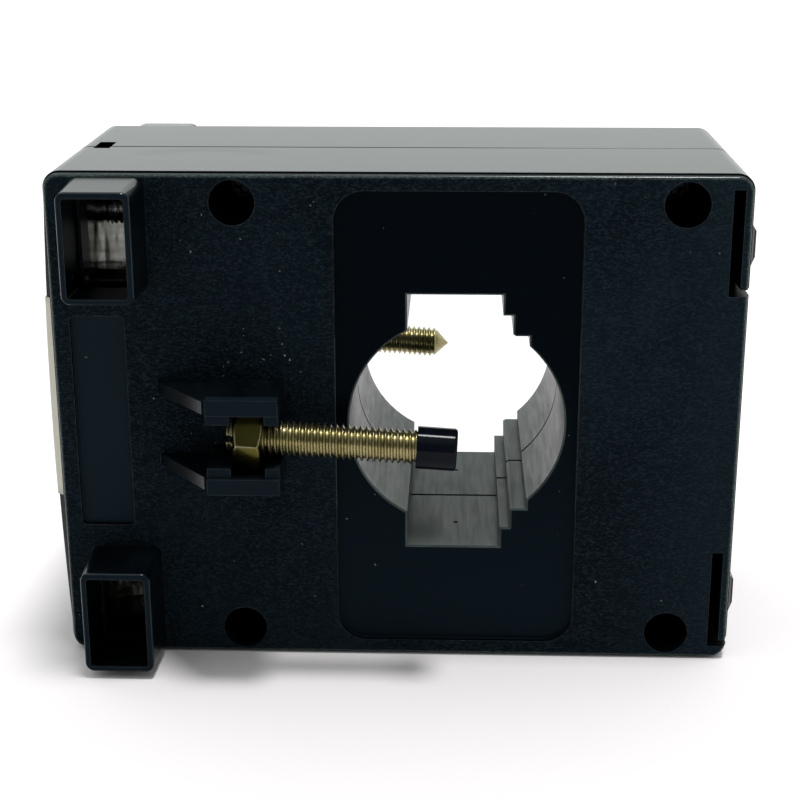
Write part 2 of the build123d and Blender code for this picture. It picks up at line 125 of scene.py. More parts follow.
CLAMP_AXIS = Vector(JOINTS["front_cap_slide"]["axis"]).normalized()
CLAMP_PITCH = 2 * math.pi / RATIO_OF["front_screw_turn"]

# Marks of use: where dust drifts lie from the clamp nut in X and Z, and two ovals on the case's top
DUST_DRIFTS = ((1.6 * MILLIMETRE, 7.2 * MILLIMETRE), (-4.2 * MILLIMETRE, -1.3 * MILLIMETRE))
SINK_MARK = {"centre": (-0.03, -0.0052, 0), "half_x": 0.0105, "half_y": 0.005}
SCUFFS = {"centre": (0.0146, 0.0094, 0), "half_x": 0.006, "half_y": 0.0035}

# Second tones of the finishes, beside those that a user sets
GOLD_EDGE = (0.8, 0.74, 0.54, 1)
NUT_TONE = (0.1, 0.09, 0.02, 1)
NUT_SHADE = (0.045, 0.042, 0.01, 1)
# Painted highlight on the nuts' edges
NUT_EDGE_HIGHLIGHT = (0.9, 0.82, 0.55, 1)
# Darker tone of the terminals' nickel, also darkened as painted shade inside the hoods
NICKEL_SHADE = (0.05, 0.043, 0.036, 1)
ZINC_SHADE = (0.5, 0.5, 0.47, 1)
ZINC_EDGE = (0.8, 0.8, 0.8, 1)
# Black zinc of the case screws, made dark as painted shade in their holes
HOLE_SHADE_ZINC = (0.03, 0.03, 0.034, 1)
HOLE_SHADE_ZINC_LOW = (0.015, 0.015, 0.017, 1)
HOLE_SHADE_ZINC_EDGE = (0.06, 0.06, 0.065, 1)
LABEL_MOTTLE = (0.42, 0.41, 0.33, 1)
LABEL_END_TONE = (0.3, 0.29, 0.24, 1)
STEEL_SHADE = (0.1, 0.1, 0.11, 1)
COPPER_SHADE = (0.16, 0.04, 0.012, 1)
TAPE_SHADE = (0.3, 0.16, 0.03, 1)

# Lines on the ring inside the case
WIRES_ROUND = 180
LAPS_PER_RADIAN = 6.0
LAYERS_PER_METRE = 6000.0

# How screws end: a cone of 45 degrees, a longer tapping point, or cut off flat
CONE_POINT = 1.0
TAPPING_POINT = 0.6
FLAT_END = 40.0
SHANK_IN_HEAD = 0.8
HEAD_ROWS = 31
MERGE_DISTANCE = 1e-6

COLOUR = {"subtype": "COLOR", "size": 4, "min": 0, "max": 1}


class CaseLook(bpy.types.PropertyGroup):
    """Colours and surface of the moulded case."""

    body: FloatVectorProperty(
        name="Body", description="Colour of the moulding", default=(0.0004, 0.0013, 0.0026, 1), **COLOUR
    )
    shine: FloatVectorProperty(
        name="Shine", description="Tint of the moulding's own reflection",
        default=(0.55, 0.85, 1, 1), **COLOUR
    )
    # Film: the paler tone of the textured faces, laid by handling patches and by a painted reflection
    film: FloatVectorProperty(
        name="Film", description="Colour of the faint film on the textured faces",
        default=(0.0092, 0.0168, 0.0235, 1), **COLOUR
    )
    # Painted glints: bright grains that stand for light caught by the spark texture
    glint_fleck: FloatVectorProperty(
        name="Glint", description="Colour of the bright grains of the spark texture",
        default=(0.0155, 0.027, 0.0355, 1), **COLOUR
    )
    # Painted sheen and smudges: the window walls' sheen over their rubbing, the lips' highlight, faint side
    # smudges
    sheen_and_smudge: FloatVectorProperty(
        name="Sheen and smudge", description="Colour of rubbed lips and window walls",
        default=(0.11, 0.15, 0.135, 1), **COLOUR
    )
    dust: FloatVectorProperty(
        name="Dust", description="Colour of dust and moulding crumbs",
        default=(0.42, 0.42, 0.38, 1), **COLOUR
    )
    grain_size: FloatProperty(
        name="Grain size", description="Width of one grain of the spark texture", unit="LENGTH",
        default=0.00022,
    )
    grain_depth: FloatProperty(
        name="Grain depth", description="Depth of the spark texture", unit="LENGTH", default=0.0002,
    )
    face_roughness: FloatProperty(
        name="Face roughness", description="Roughness of the textured faces", subtype="FACTOR", default=0.5,
    )
    side_roughness: FloatProperty(
        name="Side roughness", description="Roughness of the smooth sides", subtype="FACTOR", default=0.3,
    )
    edge_radius: FloatProperty(
        name="Edge radius", description="Rounding of the moulding's edges", unit="LENGTH", default=0.00016,
    )
    side_gloss: FloatProperty(
        name="Side gloss", description="Share of gloss on the smooth sides", subtype="FACTOR", default=0.52,
    )
    edge_gloss: FloatProperty(
        name="Edge gloss", description="Share of gloss on the edges", subtype="FACTOR", default=0.6,
    )


class MetalLook(bpy.types.PropertyGroup):
    """Colours of the plated and bare metals."""

    gold: FloatVectorProperty(
        name="Yellow passivation", description="Bright tone of the clamp screws",
        default=(0.38, 0.335, 0.185, 1), **COLOUR
    )
    olive: FloatVectorProperty(
        name="Olive passivation", description="Dark tone of the clamp screws",
        default=(0.15, 0.135, 0.035, 1), **COLOUR
    )
    # Painted shade: the nickel is darkened for the shade inside the hoods
    nickel_darkened_for_shade: FloatVectorProperty(
        name="Nickel", description="Plating of the terminals", default=(0.12, 0.105, 0.084, 1), **COLOUR
    )
    zinc: FloatVectorProperty(
        name="Zinc", description="Plating of the terminal screws",
        default=(0.62, 0.64, 0.66, 1), **COLOUR
    )
    steel: FloatVectorProperty(
        name="Strip steel", description="Edges of the wound core strip",
        default=(0.34, 0.36, 0.4, 1), **COLOUR
    )
    copper: FloatVectorProperty(
        name="Enamelled copper", description="Wire of the winding",
        default=(0.55, 0.19, 0.06, 1), **COLOUR
    )


class FilmLook(bpy.types.PropertyGroup):
    """Colours of the label, cap and insulation."""

    label: FloatVectorProperty(
        name="Label", description="Bare label film", default=(0.57, 0.56, 0.47, 1), **COLOUR
    )
    cap: FloatVectorProperty(
        name="Cap", description="Insulating cap of the clamp screw",
        default=(0.002, 0.003, 0.0055, 1), **COLOUR
    )
    channel: FloatVectorProperty(
        name="Core channel", description="Insulating channel over the core",
        default=(0.72, 0.69, 0.6, 1), **COLOUR
    )
    tape: FloatVectorProperty(
        name="Tape", description="Film tape over the winding", default=(0.62, 0.38, 0.07, 1), **COLOUR
    )
    lead: FloatVectorProperty(
        name="Lead", description="Sleeve of the winding's leads",
        default=(0.03, 0.03, 0.032, 1), **COLOUR
    )


class ThreadSizes(bpy.types.PropertyGroup):
    """Sizes of the screws, their threads and their drives."""

    clamp_pitch: FloatProperty(
        name="Clamp pitch", description="Pitch of the clamp screws, from their coupling", unit="LENGTH",
        default=CLAMP_PITCH,
    )
    depth_share: FloatProperty(
        name="Thread depth", description="Depth of the thread as a share of its pitch", subtype="FACTOR",
        default=0.5,
    )
    end_chamfer: FloatProperty(
        name="End chamfer", description="Chamfer at a clamp screw's end", unit="LENGTH", default=0.0004,
    )
    clamp_slot: FloatVectorProperty(
        name="Clamp slot", description="Depth and width of the clamp screws' slot", unit="LENGTH", size=2,
        default=(0.0014, 0.0008),
    )
    nut_rounding: FloatProperty(
        name="Nut rounding", description="Width of the nuts' rounded edges", unit="LENGTH", default=0.0001,
    )
    terminal_radius: FloatProperty(
        name="Terminal screw radius", description="Outer radius of the terminal screws' thread",
        unit="LENGTH", default=0.002,
    )
    terminal_head: FloatProperty(
        name="Terminal screw head", description="Height of the terminal screws' head", unit="LENGTH",
        default=0.0022,
    )
    spigot_radius: FloatProperty(
        name="Spigot radius", description="Radius of the terminal screws' plain tip", unit="LENGTH",
        default=0.0012,
    )
    terminal_slot: FloatVectorProperty(
        name="Terminal slot", description="Depth and width of the terminal screws' slot", unit="LENGTH",
        size=2, default=(0.0012, 0.0009),
    )
    case_radius: FloatProperty(
        name="Case screw radius", description="Outer radius of the case screws' thread", unit="LENGTH",
        default=0.00145,
    )
    case_head: FloatVectorProperty(
        name="Case screw head", description="Height and radius of the case screws' head", unit="LENGTH",
        size=2, default=(0.0022, 0.0024),
    )
    case_pitch: FloatProperty(
        name="Case screw pitch", description="Pitch of the self-tapping case screws", unit="LENGTH",
        default=0.0011,
    )
    case_depth_share: FloatProperty(
        name="Case thread depth", description="Depth of the case screws' thread as a share of its pitch",
        subtype="FACTOR", default=0.4,
    )
    cross_slot: FloatVectorProperty(
        name="Cross recess", description="Depth and width of the case screws' cross", unit="LENGTH", size=2,
        default=(0.0013, 0.0008),
    )
    segments: IntProperty(name="Segments", description="Sides of a turned round", default=40, min=12, max=96)
    case_segments: IntProperty(
        name="Case screw segments", description="Sides of a case screw", default=24, min=12, max=96,
    )


class StageLook(bpy.types.PropertyGroup):
    """Camera, floor and light."""

    camera_place: FloatVectorProperty(
        name="Camera", description="Where the camera stands", subtype="TRANSLATION", size=3, unit="LENGTH",
        precision=6, default=(-0.000127, -0.198388, 0.062299),
    )
    camera_right: FloatVectorProperty(
        name="Camera right", description="Direction to the right of the picture", subtype="DIRECTION",
        size=3, precision=6, default=(0.99938, 0.03516, -0.0018),
    )
    camera_up: FloatVectorProperty(
        name="Camera up", description="Direction to the top of the picture", subtype="DIRECTION", size=3,
        precision=6, default=(-0.00922, 0.31067, 0.95047),
    )
    lens: FloatProperty(name="Lens", description="Focal length in millimetres", default=73.78)
    sensor: FloatProperty(name="Sensor", description="Width of the sensor in millimetres", default=36.0)
    floor: FloatVectorProperty(
        name="Floor", description="Colour of the floor", default=(0.93, 0.885, 0.9, 1), **COLOUR
    )
    floor_half: FloatProperty(
        name="Floor half width", description="Half the width of the floor", unit="LENGTH", default=20.0,
    )
    sky_colour: FloatVectorProperty(
        name="Sky colour", description="Colour of the soft light all round",
        default=(0.95, 1, 0.985, 1), **COLOUR
    )
    sky_front: FloatProperty(name="Front light", description="Light from the camera's side", default=0.12)
    sky_back: FloatProperty(name="Back light", description="Light from behind the object", default=1.2)
    sky_top: FloatProperty(name="Top light", description="Light from above", default=0.95)
    sky_sides: FloatProperty(name="Side light", description="Light from left and right", default=0.9)
    lamp_from: FloatVectorProperty(
        name="Lamp from", description="Direction that the soft lamp shines from", subtype="DIRECTION",
        size=3, default=(0.11, -0.03, 0.99),
    )
    lamp_level: FloatProperty(
        name="Lamp level", description="Light of the soft lamp on the floor", default=1.75,
    )
    lamp_spread: FloatProperty(
        name="Lamp spread", description="Breadth of the soft lamp seen from the object", subtype="ANGLE",
        default=math.radians(10),
    )


class Graph:
    """A node tree being built: adds nodes, sets or links their inputs, and returns sockets."""

    def __init__(self, tree):
        self.tree = tree

    def add(self, kind, inputs=None, **options):
        """Adds a node. Inputs are given by name or number, as a value or a socket to link."""
        made = self.tree.nodes.new(kind)
        for option, value in options.items():
            setattr(made, option, value)
        for key, value in (inputs or {}).items():
            self.feed(made.inputs[key], value)
        return made

    def feed(self, socket, value):
        """Sets a socket's own value, or links another socket to it."""
        if isinstance(value, bpy.types.NodeSocket):
            self.tree.links.new(value, socket)
        else:
            socket.default_value = value

    def math(self, operation, *values):
        """A math node's result."""
        return self.add("ShaderNodeMath", dict(enumerate(values)), operation=operation).outputs[0]

    def times(self, *values):
        """The product of all the values."""
        return reduce(lambda first, second: self.math("MULTIPLY", first, second), values)

    def most(self, *values):
        """The highest of all the values."""
        return reduce(lambda first, second: self.math("MAXIMUM", first, second), values)

    def vector_math(self, operation, *values):
        """A vector math node's result."""
        made = self.add("ShaderNodeVectorMath", dict(enumerate(values)), operation=operation)
        return made.outputs["Value" if operation in ("DISTANCE", "LENGTH", "DOT_PRODUCT") else "Vector"]

    def ramp(self, value, low, high, start=0.0, end=1.0):
        """Maps a value between two limits on to another span, without running past it."""
        values = {"Value": value, "From Min": low, "From Max": high, "To Min": start, "To Max": end}
        return self.add("ShaderNodeMapRange", values, clamp=True).outputs["Result"]

    def mix(self, share, first, second):
        """Mixes two colours."""
        made = self.add("ShaderNodeMix", data_type="RGBA")
        for name, value in (("Factor_Float", share), ("A_Color", first), ("B_Color", second)):
            socket = next(item for item in made.inputs if item.identifier == name)
            self.feed(socket, value)
        return next(item for item in made.outputs if item.identifier == "Result_Color")

    def noise(self, vector, scale, detail=2.0, roughness=0.5):
        """A noise texture's value."""
        values = {"Vector": vector, "Scale": scale, "Detail": detail, "Roughness": roughness}
        return self.add("ShaderNodeTexNoise", values).outputs["Fac"]

    def split(self, vector):
        """A vector's three parts."""
        return self.add("ShaderNodeSeparateXYZ", {0: vector}).outputs[:]

    def join(self, x=0.0, y=0.0, z=0.0):
        """A vector from its three parts."""
        return self.add("ShaderNodeCombineXYZ", {0: x, 1: y, 2: z}).outputs[0]

    def bump(self, height, distance, strength, normal=None):
        """A bump node's normal, on top of another one where there is one."""
        inputs = {"Height": height, "Distance": distance, "Strength": strength}
        if normal is not None:
            inputs["Normal"] = normal
        return self.add("ShaderNodeBump", inputs).outputs["Normal"]

    def group(self, tree, **inputs):
        """Places a shader group with its own values."""
        made = self.add("ShaderNodeGroup", node_tree=tree)
        for name, value in inputs.items():
            self.feed(made.inputs[name.replace("_", " ")], value)
        return made.outputs


VECTOR, FLOAT, INTEGER = "NodeSocketVector", "NodeSocketFloat", "NodeSocketInt"
GEOMETRY, MATERIAL = "NodeSocketGeometry", "NodeSocketMaterial"


def new_group(name, kind, inputs, outputs):
    """An empty node group with named sockets. Returns its graph, its input sockets and its output node."""
    tree = bpy.data.node_groups.new(name, kind)
    for label, socket, default in inputs:
        made = tree.interface.new_socket(label, in_out="INPUT", socket_type=socket)
        if default is not None:
            made.default_value = default
    for label, socket in outputs:
        tree.interface.new_socket(label, in_out="OUTPUT", socket_type=socket)
    graph = Graph(tree)
    start = graph.add("NodeGroupInput")
    end = graph.add("NodeGroupOutput")
    return graph, start.outputs, end


def shared(name, make):
    """A node group by name, made the first time it is asked for."""
    return bpy.data.node_groups.get(name) or make()


def spark_grain_group():
    """Fine eroded texture of a mould face: a height, and painted glints, bright flecks for caught light."""
    graph, given, end = new_group(
        "Spark grain", "ShaderNodeTree", [("Vector", VECTOR, None), ("Grains per metre", FLOAT, 3000.0)],
        [("Height", FLOAT), ("Glints", FLOAT)],
    )
    coarse = graph.noise(given["Vector"], given["Grains per metre"], 3.0, 0.6)
    cells = graph.add(
        "ShaderNodeTexVoronoi", {"Vector": given["Vector"], "Scale": given["Grains per metre"]}, feature="F1"
    )
    pits = graph.ramp(cells.outputs["Distance"], 0.05, 0.7)
    graph.feed(end.inputs["Height"], graph.math("ADD", coarse, graph.times(pits, 0.6)))
    graph.feed(end.inputs["Glints"], graph.ramp(coarse, 0.45, 0.78))
    return graph.tree


def dust_group():
    """Scattered specks, one at most in each cell, on a share of the cells."""
    graph, given, end = new_group(
        "Dust specks", "ShaderNodeTree",
        [
            ("Vector", VECTOR, None), ("Cells per metre", FLOAT, 900.0), ("Share", FLOAT, 0.1),
            ("Size", FLOAT, 0.1),
        ],
        [("Mask", FLOAT)],
    )
    cells = graph.add("ShaderNodeTexVoronoi", {"Vector": given["Vector"], "Scale": given["Cells per metre"]})
    chance, breadth, tone = graph.split(cells.outputs["Color"])
    width = graph.times(given["Size"], graph.ramp(breadth, 0.0, 1.0, 0.35, 1.0))
    speck = graph.ramp(cells.outputs["Distance"], width, graph.times(width, 0.5))
    kept = graph.math("LESS_THAN", chance, given["Share"])
    graph.feed(end.inputs["Mask"], graph.times(speck, kept, graph.ramp(tone, 0.0, 1.0, 0.25, 1.0)))
    return graph.tree


def smudge_group():
    """Soft blotches of handling, broken up by finer ones."""
    graph, given, end = new_group(
        "Handling smudges", "ShaderNodeTree",
        [("Vector", VECTOR, None), ("Scale", FLOAT, 90.0), ("Low", FLOAT, 0.4), ("High", FLOAT, 0.7)],
        [("Mask", FLOAT), ("Fine", FLOAT)],
    )
    broad = graph.ramp(graph.noise(given["Vector"], given["Scale"], 3.0, 0.55), given["Low"], given["High"])
    fine = graph.noise(given["Vector"], graph.times(given["Scale"], 9.0), 4.0, 0.65)
    graph.feed(end.inputs["Mask"], graph.times(broad, graph.ramp(fine, 0.25, 0.7, 0.45, 1.0)))
    graph.feed(end.inputs["Fine"], fine)
    return graph.tree


def smudged(graph, vector, scale, low, high):
    """The smudges on a finish, with its own values."""
    group = shared("Handling smudges", smudge_group)
    return graph.group(group, Vector=vector, Scale=scale, Low=low, High=high)


def edge_wear_group():
    """Worn edges: where the rounded normal leaves the flat one, broken up by noise."""
    graph, given, end = new_group(
        "Edge wear", "ShaderNodeTree",
        [("Vector", VECTOR, None), ("Radius", FLOAT, 0.0002), ("Scale", FLOAT, 1500.0)],
        [("Mask", FLOAT), ("Normal", VECTOR)],
    )
    rounded = graph.add("ShaderNodeBevel", {"Radius": given["Radius"]}, samples=6).outputs["Normal"]
    flat = graph.add("ShaderNodeNewGeometry").outputs["Normal"]
    bent = graph.math("SUBTRACT", 1.0, graph.vector_math("DOT_PRODUCT", rounded, flat))
    broken = graph.ramp(graph.noise(given["Vector"], given["Scale"], 3.0), 0.3, 0.6, 0.35, 1.0)
    graph.feed(end.inputs["Mask"], graph.times(graph.ramp(bent, 0.01, 0.12), broken))
    graph.feed(end.inputs["Normal"], rounded)
    return graph.tree


def worn_edges(graph, vector, radius, scale):
    """The worn edges of a finish, with its own values."""
    return graph.group(shared("Edge wear", edge_wear_group), Vector=vector, Radius=radius, Scale=scale)


def new_material(name):
    """An empty procedural material: the material, its graph, its shader and its coordinates."""
    material = bpy.data.materials.new(name)
    material.use_nodes = True
    material.node_tree.nodes.clear()
    graph = Graph(material.node_tree)
    shader = graph.add("ShaderNodeBsdfPrincipled")
    graph.add("ShaderNodeOutputMaterial", {"Surface": shader.outputs["BSDF"]})
    return material, graph, shader, graph.add("ShaderNodeTexCoord").outputs


def set_shader(graph, shader, **inputs):
    """Sets or links the shader's sockets, named with underscores for spaces."""
    for name, value in inputs.items():
        graph.feed(shader.inputs[name.replace("_", " ")], value)


def between(span, inset):
    """Middle and half width of a span, drawn in at both ends."""
    return (span[0] + span[1]) / 2, (span[1] - span[0]) / 2 - inset


def off_middle(graph, value, middle):
    """How far a value lies from the middle of its span, either way."""
    return graph.math("ABSOLUTE", graph.math("SUBTRACT", value, middle))


def off_axis(graph, x, z):
    """Distance from the line through the middle of the window."""
    return graph.math("SQRT", graph.math("ADD", graph.times(x, x), graph.times(z, z)))


def smooth_skin(graph, x, depth, z, across, upright):
    """Masks of the case's smooth outside (sides, window, what stands proud) and of the window alone."""
    skin = 0.4 * MILLIMETRE
    left_band = 1.2 * MILLIMETRE
    right_band = 0.3 * MILLIMETRE
    wall_inset = 0.15 * MILLIMETRE
    sideways = graph.math("GREATER_THAN", across, 0.5)
    tall = graph.math("ABSOLUTE", z)
    ends = graph.math("GREATER_THAN", tall, SHELL_HIGH.z - skin)
    ends = graph.times(ends, graph.math("GREATER_THAN", upright, 0.3))
    left = graph.times(graph.math("LESS_THAN", x, SHELL_LOW.x + left_band), sideways)
    right = graph.times(graph.math("COMPARE", x, RIGHT_SIDE, right_band), sideways)
    window = graph.math("LESS_THAN", off_axis(graph, x, z), WINDOW_REACH)
    proud = graph.math("GREATER_THAN", depth, FACE_Y + skin)
    rim_x, half_x = between(RIM_SPAN_X, wall_inset)
    rim_z, half_z = between(RIM_SPAN_Z, wall_inset)
    off_x = graph.math("DIVIDE", off_middle(graph, x, rim_x), half_x)
    off_z = graph.math("DIVIDE", off_middle(graph, tall, rim_z), half_z)
    outside_hood = graph.math("GREATER_THAN", graph.most(off_x, off_z), 1.0)
    return graph.times(graph.most(ends, left, right, window, proud), outside_hood), window


def case_dust(graph, place, x, depth, z, grain_size):
    """Crumbs and fine flecks, thickest around the nut holders, where the screw sheds them."""
    thick = 1.0 * MILLIMETRE
    thin = 5.8 * MILLIMETRE
    nut_x = node_centre("front_clamp_nut").x
    folded = graph.join(x, graph.times(depth, -1.0), z)
    drifts = [(nut_x + along, -FACE_Y, height) for along, height in DUST_DRIFTS]
    away = graph.math("MINIMUM", *[graph.vector_math("DISTANCE", folded, centre) for centre in drifts])
    near_holder = graph.ramp(away, thick, thin, 1.0, 0.0)
    ragged = graph.add("ShaderNodeTexNoise", {"Vector": place, "Scale": 1400.0, "Detail": 2.0})
    warp = graph.vector_math("SUBTRACT", ragged.outputs["Color"], (0.5, 0.5, 0.5))
    warp = graph.vector_math("MULTIPLY", warp, (grain_size * 4,) * 3)
    warped = graph.vector_math("ADD", place, warp)
    patches = graph.ramp(graph.noise(place, 420.0, 2.0), 0.4, 0.6)
    fine_share = graph.times(graph.ramp(near_holder, 0.0, 1.0, 0.006, 0.42), patches)
    specks = shared("Dust specks", dust_group)
    fine = graph.group(specks, Vector=warped, Cells_per_metre=2600.0, Size=0.36, Share=fine_share)["Mask"]
    crumb_share = graph.ramp(near_holder, 0.0, 1.0, 0.015, 0.16)
    crumbs = graph.group(specks, Vector=warped, Cells_per_metre=650.0, Size=0.13, Share=crumb_share)["Mask"]
    return graph.most(fine, crumbs)


def oval(graph, place, centre, half_x, half_y):
    """A soft oval seen from above, 1 in its middle and 0 outside."""
    offset = graph.vector_math("SUBTRACT", place, centre)
    scaled = graph.vector_math("MULTIPLY", offset, (1 / half_x, 1 / half_y, 0.0))
    return graph.add(
        "ShaderNodeMapRange",
        {"Value": graph.vector_math("LENGTH", scaled), "From Min": 1.0, "From Max": 0.2},
        interpolation_type="SMOOTHSTEP",
    ).outputs["Result"]


def case_marks(graph, place, z):
    """Masks of the top side's marks: a sink mark over the terminal pocket, scuffs on the rear shell."""
    top_band = 0.6 * MILLIMETRE
    upper = graph.math("GREATER_THAN", z, SHELL_HIGH.z - top_band)
    sink = graph.times(oval(graph, place, **SINK_MARK), upper)
    streaks = graph.vector_math("MULTIPLY", place, (260.0, 2600.0, 260.0))
    strokes = graph.ramp(graph.noise(streaks, 0.6, 3.0, 0.6), 0.54, 0.7, 0.0, 0.4)
    patch = graph.times(oval(graph, place, **SCUFFS), upper)
    return sink, graph.times(strokes, patch)


def case_film_and_sheen(graph, place, x, depth, z, textured):
    """Handling film on the textured faces, in recesses and on hood rims, and a painted reflection
    that grows to the right and down the recessed panel.
    """
    tag_from_nut = 14.5 * MILLIMETRE
    recess_band = 0.2 * MILLIMETRE
    rim_band = 0.3 * MILLIMETRE
    patches = smudged(graph, place, 38.0, 0.4, 0.7)["Mask"]
    # Painted reflection: the textured faces grow paler to the right
    sheen_rightward = graph.ramp(x, 12 * MILLIMETRE, 30 * MILLIMETRE, 0.0, 0.65)
    face_film_and_sheen = graph.times(graph.most(graph.ramp(patches, 0.0, 1.0, 0.2, 0.8), sheen_rightward), textured)
    recessed = graph.math("COMPARE", depth, FACE_Y - RECESS_DEPTH, recess_band)
    tag = graph.math("LESS_THAN", x, node_centre("front_clamp_nut").x - tag_from_nut)
    # Painted reflection: the recessed panel grows paler downward
    sheen_down_panel = graph.ramp(z, 6 * MILLIMETRE, -22 * MILLIMETRE, 0.0, 0.45)
    panel_sheen = graph.times(sheen_down_panel, graph.math("SUBTRACT", 1.0, tag))
    on_tag = graph.times(tag, graph.ramp(patches, 0.0, 1.0, 0.75, 1.0))
    in_recess = graph.times(graph.most(on_tag, panel_sheen), recessed)
    on_rim = graph.times(graph.math("GREATER_THAN", depth, RIM_Y - rim_band), 0.6)
    return graph.most(face_film_and_sheen, in_recess, on_rim)


def painted_lip_highlight(graph, x, depth, z, turned):
    """Mask of the rounded lip round each face, where a painted highlight lies."""
    band = 2.5 * MILLIMETRE
    lip_depth = 0.3 * MILLIMETRE
    lip_band = 0.4 * MILLIMETRE
    middle, half = between((SHELL_LOW.x, RIGHT_SIDE), band)
    ends = graph.math("GREATER_THAN", graph.math("ABSOLUTE", z), SHELL_HIGH.z - band)
    sides = graph.math("GREATER_THAN", off_middle(graph, x, middle), half)
    at_face = graph.math("COMPARE", depth, FACE_Y - lip_depth, lip_band)
    rounded = graph.times(graph.ramp(turned, 0.25, 0.5), graph.ramp(turned, 0.99, 0.9))
    return graph.times(graph.most(ends, sides), at_face, rounded)


def case_plastic(look):
    """Black moulding: spark texture on the faces, smooth sides with smudges, dust by the nut holders."""
    face_inset = 0.15 * MILLIMETRE
    face_band = 0.3 * MILLIMETRE
    sink_depth = 0.12 * MILLIMETRE
    material, graph, shader, given = new_material("case_moulding")
    place = given["Object"]
    x, y, z = graph.split(place)
    depth = graph.math("ABSOLUTE", y)
    across, turned, upright = [graph.math("ABSOLUTE", part) for part in graph.split(given["Normal"])]
    skin, window = smooth_skin(graph, x, depth, z, across, upright)
    side = graph.times(graph.ramp(turned, 0.72, 0.97, 1.0, 0.0), skin)
    textured = graph.math("COMPARE", depth, FACE_Y - face_inset, face_band)
    textured = graph.times(textured, graph.math("GREATER_THAN", turned, 0.5))

    drawn = graph.vector_math("MULTIPLY", place, (0.6, 1.0, 1.0))
    grain = graph.group(
        shared("Spark grain", spark_grain_group), Vector=drawn, Grains_per_metre=1 / look.grain_size
    )
    smudge = smudged(graph, graph.vector_math("MULTIPLY", place, (1.0, 0.35, 1.0)), 110.0, 0.4, 0.66)
    rubbed = smudged(graph, graph.vector_math("MULTIPLY", place, (1.0, 0.1, 1.0)), 170.0, 0.4, 0.66)
    # Handling film and painted reflection on the textured faces
    film = case_film_and_sheen(graph, place, x, depth, z, textured)
    sink, scuffs = case_marks(graph, place, z)
    dust = case_dust(graph, place, x, depth, z, look.grain_size)
    lip_highlight = painted_lip_highlight(graph, x, depth, z, turned)
    # Painted sheen in the window, laid over its rubbed streaks
    window_rub_and_sheen = graph.ramp(graph.most(rubbed["Mask"], smudge["Mask"]), 0.0, 1.0, 0.35, 1.0)
    window_rub_and_sheen = graph.times(window_rub_and_sheen, window)
    smudge_and_sheen = graph.times(graph.most(graph.times(smudge["Mask"], 0.06), window_rub_and_sheen), side)

    coloured = graph.mix(film, look.body, look.film)
    # Painted sheen on the window walls, and faint handling smudges on the smooth sides
    coloured = graph.mix(graph.times(smudge_and_sheen, 0.7), coloured, look.sheen_and_smudge)
    # Painted glints: bright flecks on the textured faces stand for light caught by the grain
    coloured = graph.mix(graph.times(grain["Glints"], textured), coloured, look.glint_fleck)
    # Painted highlight along the rounded lips, broken up by the grain
    coloured = graph.mix(
        graph.times(lip_highlight, graph.ramp(grain["Glints"], 0.0, 1.0, 0.2, 0.75)), coloured, look.sheen_and_smudge
    )
    coloured = graph.mix(graph.times(dust, graph.ramp(side, 0.0, 1.0, 0.8, 0.1)), coloured, look.dust)
    smooth = graph.math("ADD", look.side_roughness, graph.times(smudge_and_sheen, 0.2))
    rough = graph.math("ADD", smooth, graph.times(textured, look.face_roughness - look.side_roughness))

    edges = worn_edges(graph, place, look.edge_radius, 1200.0)
    mottled = graph.times(graph.ramp(rubbed["Fine"], 0.32, 0.68, 0.05, 0.6), window)
    sink_rim = graph.times(graph.math("PINGPONG", graph.times(sink, 2.0), 1.0), 0.12)
    dulled = graph.most(graph.math("ADD", mottled, graph.times(window_rub_and_sheen, 0.4)), scuffs, sink_rim)
    gloss = graph.times(side, graph.ramp(dulled, 0.0, 1.0, look.side_gloss, look.side_gloss * 0.25))
    relief = graph.times(grain["Height"], graph.ramp(textured, 0.0, 1.0, 0.012, 1.0))
    sunk = graph.bump(graph.times(sink, -1.0), sink_depth, 0.6, edges["Normal"])
    set_shader(
        graph, shader, Base_Color=coloured, Roughness=rough, Specular_IOR_Level=0.03, Coat_Roughness=0.16,
        Specular_Tint=tuple(look.shine), Normal=graph.bump(relief, look.grain_depth, 0.8, sunk),
        Coat_Weight=graph.most(gloss, graph.times(edges["Mask"], look.edge_gloss)),
    )
    return material


def plated_metal(name, light, dark, roughness, scale, edge=None, edge_radius=0.00012, dents=0.0):
    """Plated metal: two cloudy tones and an uneven gloss, with pale edges or shallow dents if given."""
    material, graph, shader, given = new_material(name)
    place = given["Object"]
    cloud = smudged(graph, place, scale, 0.35, 0.7)
    coloured = graph.mix(cloud["Mask"], light, dark)
    normal = None
    if edge:
        edges = worn_edges(graph, place, edge_radius, scale * 4)
        coloured = graph.mix(graph.times(edges["Mask"], 0.8), coloured, edge)
        normal = edges["Normal"]
    if dents:
        normal = graph.bump(graph.noise(place, 160.0, 1.0), dents, 1.0, normal)
    set_shader(
        graph, shader, Base_Color=coloured, Metallic=1.0,
        Roughness=graph.ramp(cloud["Fine"], 0.2, 0.8, roughness * 0.7, roughness * 1.5),
        Normal=graph.bump(cloud["Fine"], 0.000012, 0.6, normal),
    )
    return material


def label_film(look):
    """Bare cream film: faint mottling, darker towards both ends."""
    material, graph, shader, given = new_material("label_film")
    place = given["Object"]
    cloud = smudged(graph, place, 160.0, 0.35, 0.75)
    low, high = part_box("rating_label")
    tall = high.z - low.z
    along = off_middle(graph, graph.split(place)[2], (low.z + high.z) / 2)
    # Darker towards both ends of the label
    end_darkening = graph.ramp(along, tall * 0.46, tall * 0.5)
    coloured = graph.mix(graph.times(cloud["Mask"], 0.35), look.label, LABEL_MOTTLE)
    coloured = graph.mix(graph.times(end_darkening, 0.5), coloured, LABEL_END_TONE)
    set_shader(
        graph, shader, Base_Color=coloured, Roughness=graph.ramp(cloud["Fine"], 0.2, 0.8, 0.4, 0.62),
        Normal=graph.bump(cloud["Fine"], 0.00001, 0.5),
    )
    return material


